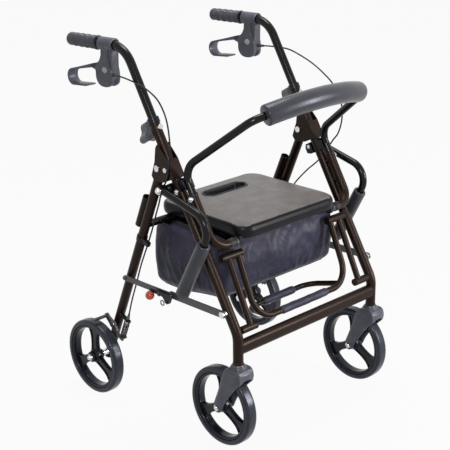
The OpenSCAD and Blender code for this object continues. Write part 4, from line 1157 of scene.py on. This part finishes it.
def add_wheels(kind, middle, hub_half, bore):
    def place(c, y, z):
        return middle + Vector((c, y, z))

    body = kind + "_wheel_{}"
    tyre = Form().lathe(tyre_profile(), middle, ACROSS, 112, wrap=True)
    pair(f"{kind}_tread", tyre, "tyre", body, kind + "_tyre_{}")
    ring = [
        (-12.4, TYRE_IN - 0.1), (-13.2, TYRE_IN - 1.6), (-13.4, RIM_IN + 4.4), (-12.8, RIM_IN + 1.8),
        (-11.2, RIM_IN + 0.5), (-6, RIM_IN)]
    hub = [(-hub_half, bore), (-hub_half, 12.5), (-hub_half + 1.2, 14), (-8, 15.5), (-7, 18)]
    rim = Form()
    for profile, segments in ((ring, 96), (hub, 48)):
        rim.lathe(profile + [(-x, r) for x, r in reversed(profile)], middle, ACROSS, segments, wrap=True)
    for angle in SPOKE_ANGLES:
        spoke_form(rim, place, angle)
    pair(f"{kind}_wheel", rim, "dark_plastic", body, kind + "_rim_{}", bevel=0.9)


add_wheels("rear", rear_pt(REAR_WHEEL_X, REAR_AXLE_D, 0), 18, 6.4)
add_wheels("caster", Vector((LEG_X, LEG_Y + CASTER_TRAIL, WHEEL_R)), 17.6, 5.4)

# Caster forks
FORK_IN = 18
FORK_T = 6
BLADE_OUTLINE = [
    (-28.5, 189), (-29, 212), (-21, 223), (18, 223), (31, 206), (47, 152), (66, 104), (63, 92), (52, 87),
    (41, 92), (38, 97), (31, 114), (4, 156), (-15, 177)]
CROWN_LEVELS = [
    (206.4, 23.5, -27.5, 29), (211, 23.4, -28, 27), (216, 22.2, -25.5, 24), (220, 20.6, -22.5, 21.5),
    (224, 18.9, -19.6, 19.2), (227, 17.6, -17.8, 17.6), (228, 16.4, -16.4, 16.4)]


def on_fork(y, z, x):
    return Vector((LEG_X + x, LEG_Y + y, z))


def crown_rows():
    """Level sections of the fork's crown, square below and round at the top."""
    rows = []
    for z, half, front, rear in CROWN_LEVELS:
        square = 0.6 + 0.4 * ease(210, 224, z)
        row = []
        for a in circle(48):
            x = half * math.copysign(abs(math.cos(a)) ** square, math.cos(a))
            y = math.copysign(abs(math.sin(a)) ** square, math.sin(a)) * (rear - front) / 2
            row.append(on_fork((front + rear) / 2 + y, z, x))
        rows.append(row)
    return rows


def hood_rows():
    """The arched lip that covers the front of the wheel between the blades."""
    rows = []
    for k in range(13):
        x = -FORK_IN - 1 + (2 * FORK_IN + 2) * k / 12
        arch = 1 - (x / (FORK_IN + 1)) ** 2
        lift = 8 * arch
        nose = 1.8 * arch
        rows.append([
            on_fork(-28.4 - nose, 189 + lift, x), on_fork(-28.6 - nose, 211, x), on_fork(-23, 221, x),
            on_fork(-18, 218, x), on_fork(-24 - nose, 209, x), on_fork(-24.4 - nose, 190 + lift, x),
        ])
    return rows


def add_forks():
    form = Form()
    for face in (1, -1):
        for inset, bulge in ((0, 0), (4.5, 1.6), (9, 2.6)):
            outline = shrink(round_corners(BLADE_OUTLINE, 10), inset)
            low, high = sorted((face * FORK_IN, face * (FORK_IN + FORK_T + bulge)))
            form.prism(outline, on_fork, low, high)
    form.rings(crown_rows())
    form.rings(hood_rows())
    pair("fork", form, "grey_plastic", "caster_{}", "caster_fork_{}", melt=(1.3, 9))
    cap = [(210, 16.6), (227, 16.8), (228.6, 16.2), (229.6, 15), (230.8, 14.5), (231, 13)]
    form = Form().lathe(cap, on_fork(0, 0, 0), (0, 0, 1), 40)
    form.lathe([(228, 6), (272, 6)], on_fork(0, 0, 0), (0, 0, 1), 24)
    pair("fork_cap", form, "dark_metal", "caster_{}")
    bolts = Form()
    for face in (1, -1):
        at = on_fork(CASTER_TRAIL, WHEEL_R, face * (FORK_IN + FORK_T + 0.6))
        bolts.lathe([(0, 7.4), (1.6, 7.4), (1.6, 6)], at, ACROSS * face, 32)
        screw_head(bolts, at + ACROSS * face * 1.6, ACROSS * face, 5.6)
    bolts.lathe([(-25, 5), (25, 5)], on_fork(CASTER_TRAIL, WHEEL_R, 0), ACROSS, 24)
    pair("fork_axle", bolts, "bright_metal", "caster_{}")


add_forks()

# Pull eye under the release latch
EYE_R = 6.2
EYE_WIRE_R = 1.5


def add_latch_eye():
    low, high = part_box("strut_latch")
    middle = Vector(((low[0] + high[0]) / 2, (low[1] + high[1]) / 2, low[2])) / MM
    middle += Vector((0, -6, -3))
    ring = [middle + Vector((0, math.cos(a), math.sin(a))) * EYE_R for a in circle(28)]
    piece("latch_eye", Form().tube(ring, EYE_WIRE_R, 10, wrap=True), "dark_metal", "strut_release")


add_latch_eye()

# Brake return springs
SPRING_R = 7
SPRING_WIRE_R = 1.3
SPRING_TURNS = 9
SPRING_STEPS = 24


def add_springs():
    run = SPRING_LOW - SPRING_TOP - 2 * SPRING_WIRE_R
    count = SPRING_TURNS * SPRING_STEPS
    coil = []
    for i in range(count + 1):
        a = math.tau * i / SPRING_STEPS
        along = SPRING_TOP + SPRING_WIRE_R + run * i / count
        coil.append(rear_pt(SPRING_X + SPRING_R * math.cos(a), along, SPRING_N + SPRING_R * math.sin(a)))
    form = Form().tube(coil, SPRING_WIRE_R, 8)
    springs = pair("brake_spring", form, "black_tube", "rear_frame", "brake_springs")
    for spring, (side, sign) in zip(springs, SIDES.items()):
        top = rear_pt(SPRING_X * sign, SPRING_TOP, SPRING_N)
        metres(top)
        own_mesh(spring)


add_springs()


# Plugs in the open ends of the rear legs and rings round the mouths of the front sockets
def add_plugs():
    wide = REAR_LEG_R + 0.6
    plug = [(-1, REAR_LEG_R - 0.5), (0, wide), (2.4, wide), (4, REAR_LEG_R - 1.4), (4.6, 4), (4.6, 0.5)]
    form = Form().lathe(plug, rear_pt(REAR_LEG_X, REAR_AXLE_D + 16, 0), REAR_DOWN, 36)
    pair("rear_leg_plug", form, "dark_plastic", "rear_frame")
    ring = [(-2, 10.2), (-2, 11.8), (2.6, 12.3), (4, 11.6), (4.4, 10.2)]
    form = Form().lathe(ring, leg_pt(LEG_X - 3, 346, SOCKET_N), LEG_UP, 36, wrap=True)
    pair("socket_ring", form, "dark_plastic", "front_frame")


add_plugs()

# Floor, lights and background
FLOOR_HALF = 6
FLOOR_Z = -0.0006
FLOOR_GREY = (0.40, 0.40, 0.40, 1)
FLOOR_WHITE = 0.94
BACKDROP_WAY = (0.62, 0.65, 0.44)
WORLD_LOW = 0.02
WORLD_HIGH = 0.75
LAMP_AIM = Vector((0, 0, 0.5))


def white_share(tree):
    """1 for what is seen straight, through glass or in a reflection, and 0 for light that falls on things."""
    rays = tree.nodes.new("ShaderNodeLightPath")
    seen = math_node(tree, "MAXIMUM", rays.outputs["Is Camera Ray"], rays.outputs["Is Transmission Ray"])
    return math_node(tree, "MAXIMUM", seen, rays.outputs["Is Glossy Ray"])


def mix_shaders(tree, share, plain, white, output):
    """Shows the white shader for a share of 1 and the plain one for a share of 0."""
    mix = tree.nodes.new("ShaderNodeMixShader")
    for source, socket in zip((share, plain, white), mix.inputs):
        tree.links.new(source, socket)
    tree.links.new(mix.outputs["Shader"], tree.nodes[output].inputs["Surface"])


def add_floor():
    made = bmesh.new()
    corners = ((-1, -1), (1, -1), (1, 1), (-1, 1))
    made.faces.new([made.verts.new((sx * FLOOR_HALF, sy * FLOOR_HALF, FLOOR_Z)) for sx, sy in corners])
    mesh = bpy.data.meshes.new("floor")
    made.to_mesh(mesh)
    made.free()
    floor = bpy.data.objects.new("floor", mesh)
    bpy.context.scene.collection.objects.link(floor)
    material = bpy.data.materials.new("floor")
    material.use_nodes = True
    tree = material.node_tree
    shader = tree.nodes["Principled BSDF"]
    shader.inputs["Base Color"].default_value = FLOOR_GREY
    shader.inputs["Roughness"].default_value = 0.9
    glow = tree.nodes.new("ShaderNodeEmission")
    share = math_node(tree, "MULTIPLY", white_share(tree), FLOOR_WHITE)
    mix_shaders(tree, share, shader.outputs["BSDF"], glow.outputs["Emission"], "Material Output")
    mesh.materials.append(material)


def add_lamp(name, at, width, height, power):
    data = bpy.data.lights.new(name, "AREA")
    data.shape = "RECTANGLE"
    data.size = width
    data.size_y = height
    data.energy = power
    lamp = bpy.data.objects.new(name, data)
    lamp.location = at
    lamp.rotation_euler = (LAMP_AIM - Vector(at)).to_track_quat("-Z", "Y").to_euler()
    bpy.context.scene.collection.objects.link(lamp)


def add_world():
    """A dim room with one bright side, which shows as plain white wherever it is seen."""
    world = bpy.data.worlds.new("studio")
    bpy.context.scene.world = world
    world.use_nodes = True
    tree = world.node_tree
    place = tree.nodes.new("ShaderNodeTexCoord")
    facing = tree.nodes.new("ShaderNodeVectorMath")
    facing.operation = "DOT_PRODUCT"
    tree.links.new(place.outputs["Generated"], facing.inputs[0])
    facing.inputs[1].default_value = BACKDROP_WAY
    rise = tree.nodes.new("ShaderNodeMapRange")
    rise.interpolation_type = "SMOOTHSTEP"
    limits = {"From Min": 0.05, "From Max": 0.95, "To Min": WORLD_LOW, "To Max": WORLD_HIGH}
    for key, value in limits.items():
        rise.inputs[key].default_value = value
    tree.links.new(facing.outputs["Value"], rise.inputs["Value"])
    soft = tree.nodes["Background"]
    soft.inputs["Color"].default_value = WHITE
    tree.links.new(rise.outputs["Result"], soft.inputs["Strength"])
    white = tree.nodes.new("ShaderNodeBackground")
    white.inputs["Color"].default_value = WHITE
    mix_shaders(
        tree, white_share(tree), soft.outputs["Background"], white.outputs["Background"], "World Output")


add_floor()
add_world()
add_lamp("key", (-2.5, -2.3, 2.3), 0.9, 0.9, 56)
add_lamp("fill", (1.8, -3.0, 1.3), 0.7, 1.6, 104)
add_lamp("top", (0.3, 0.4, 3.2), 1.2, 1.2, 46)

bpy.context.scene.view_settings.view_transform = "Standard"
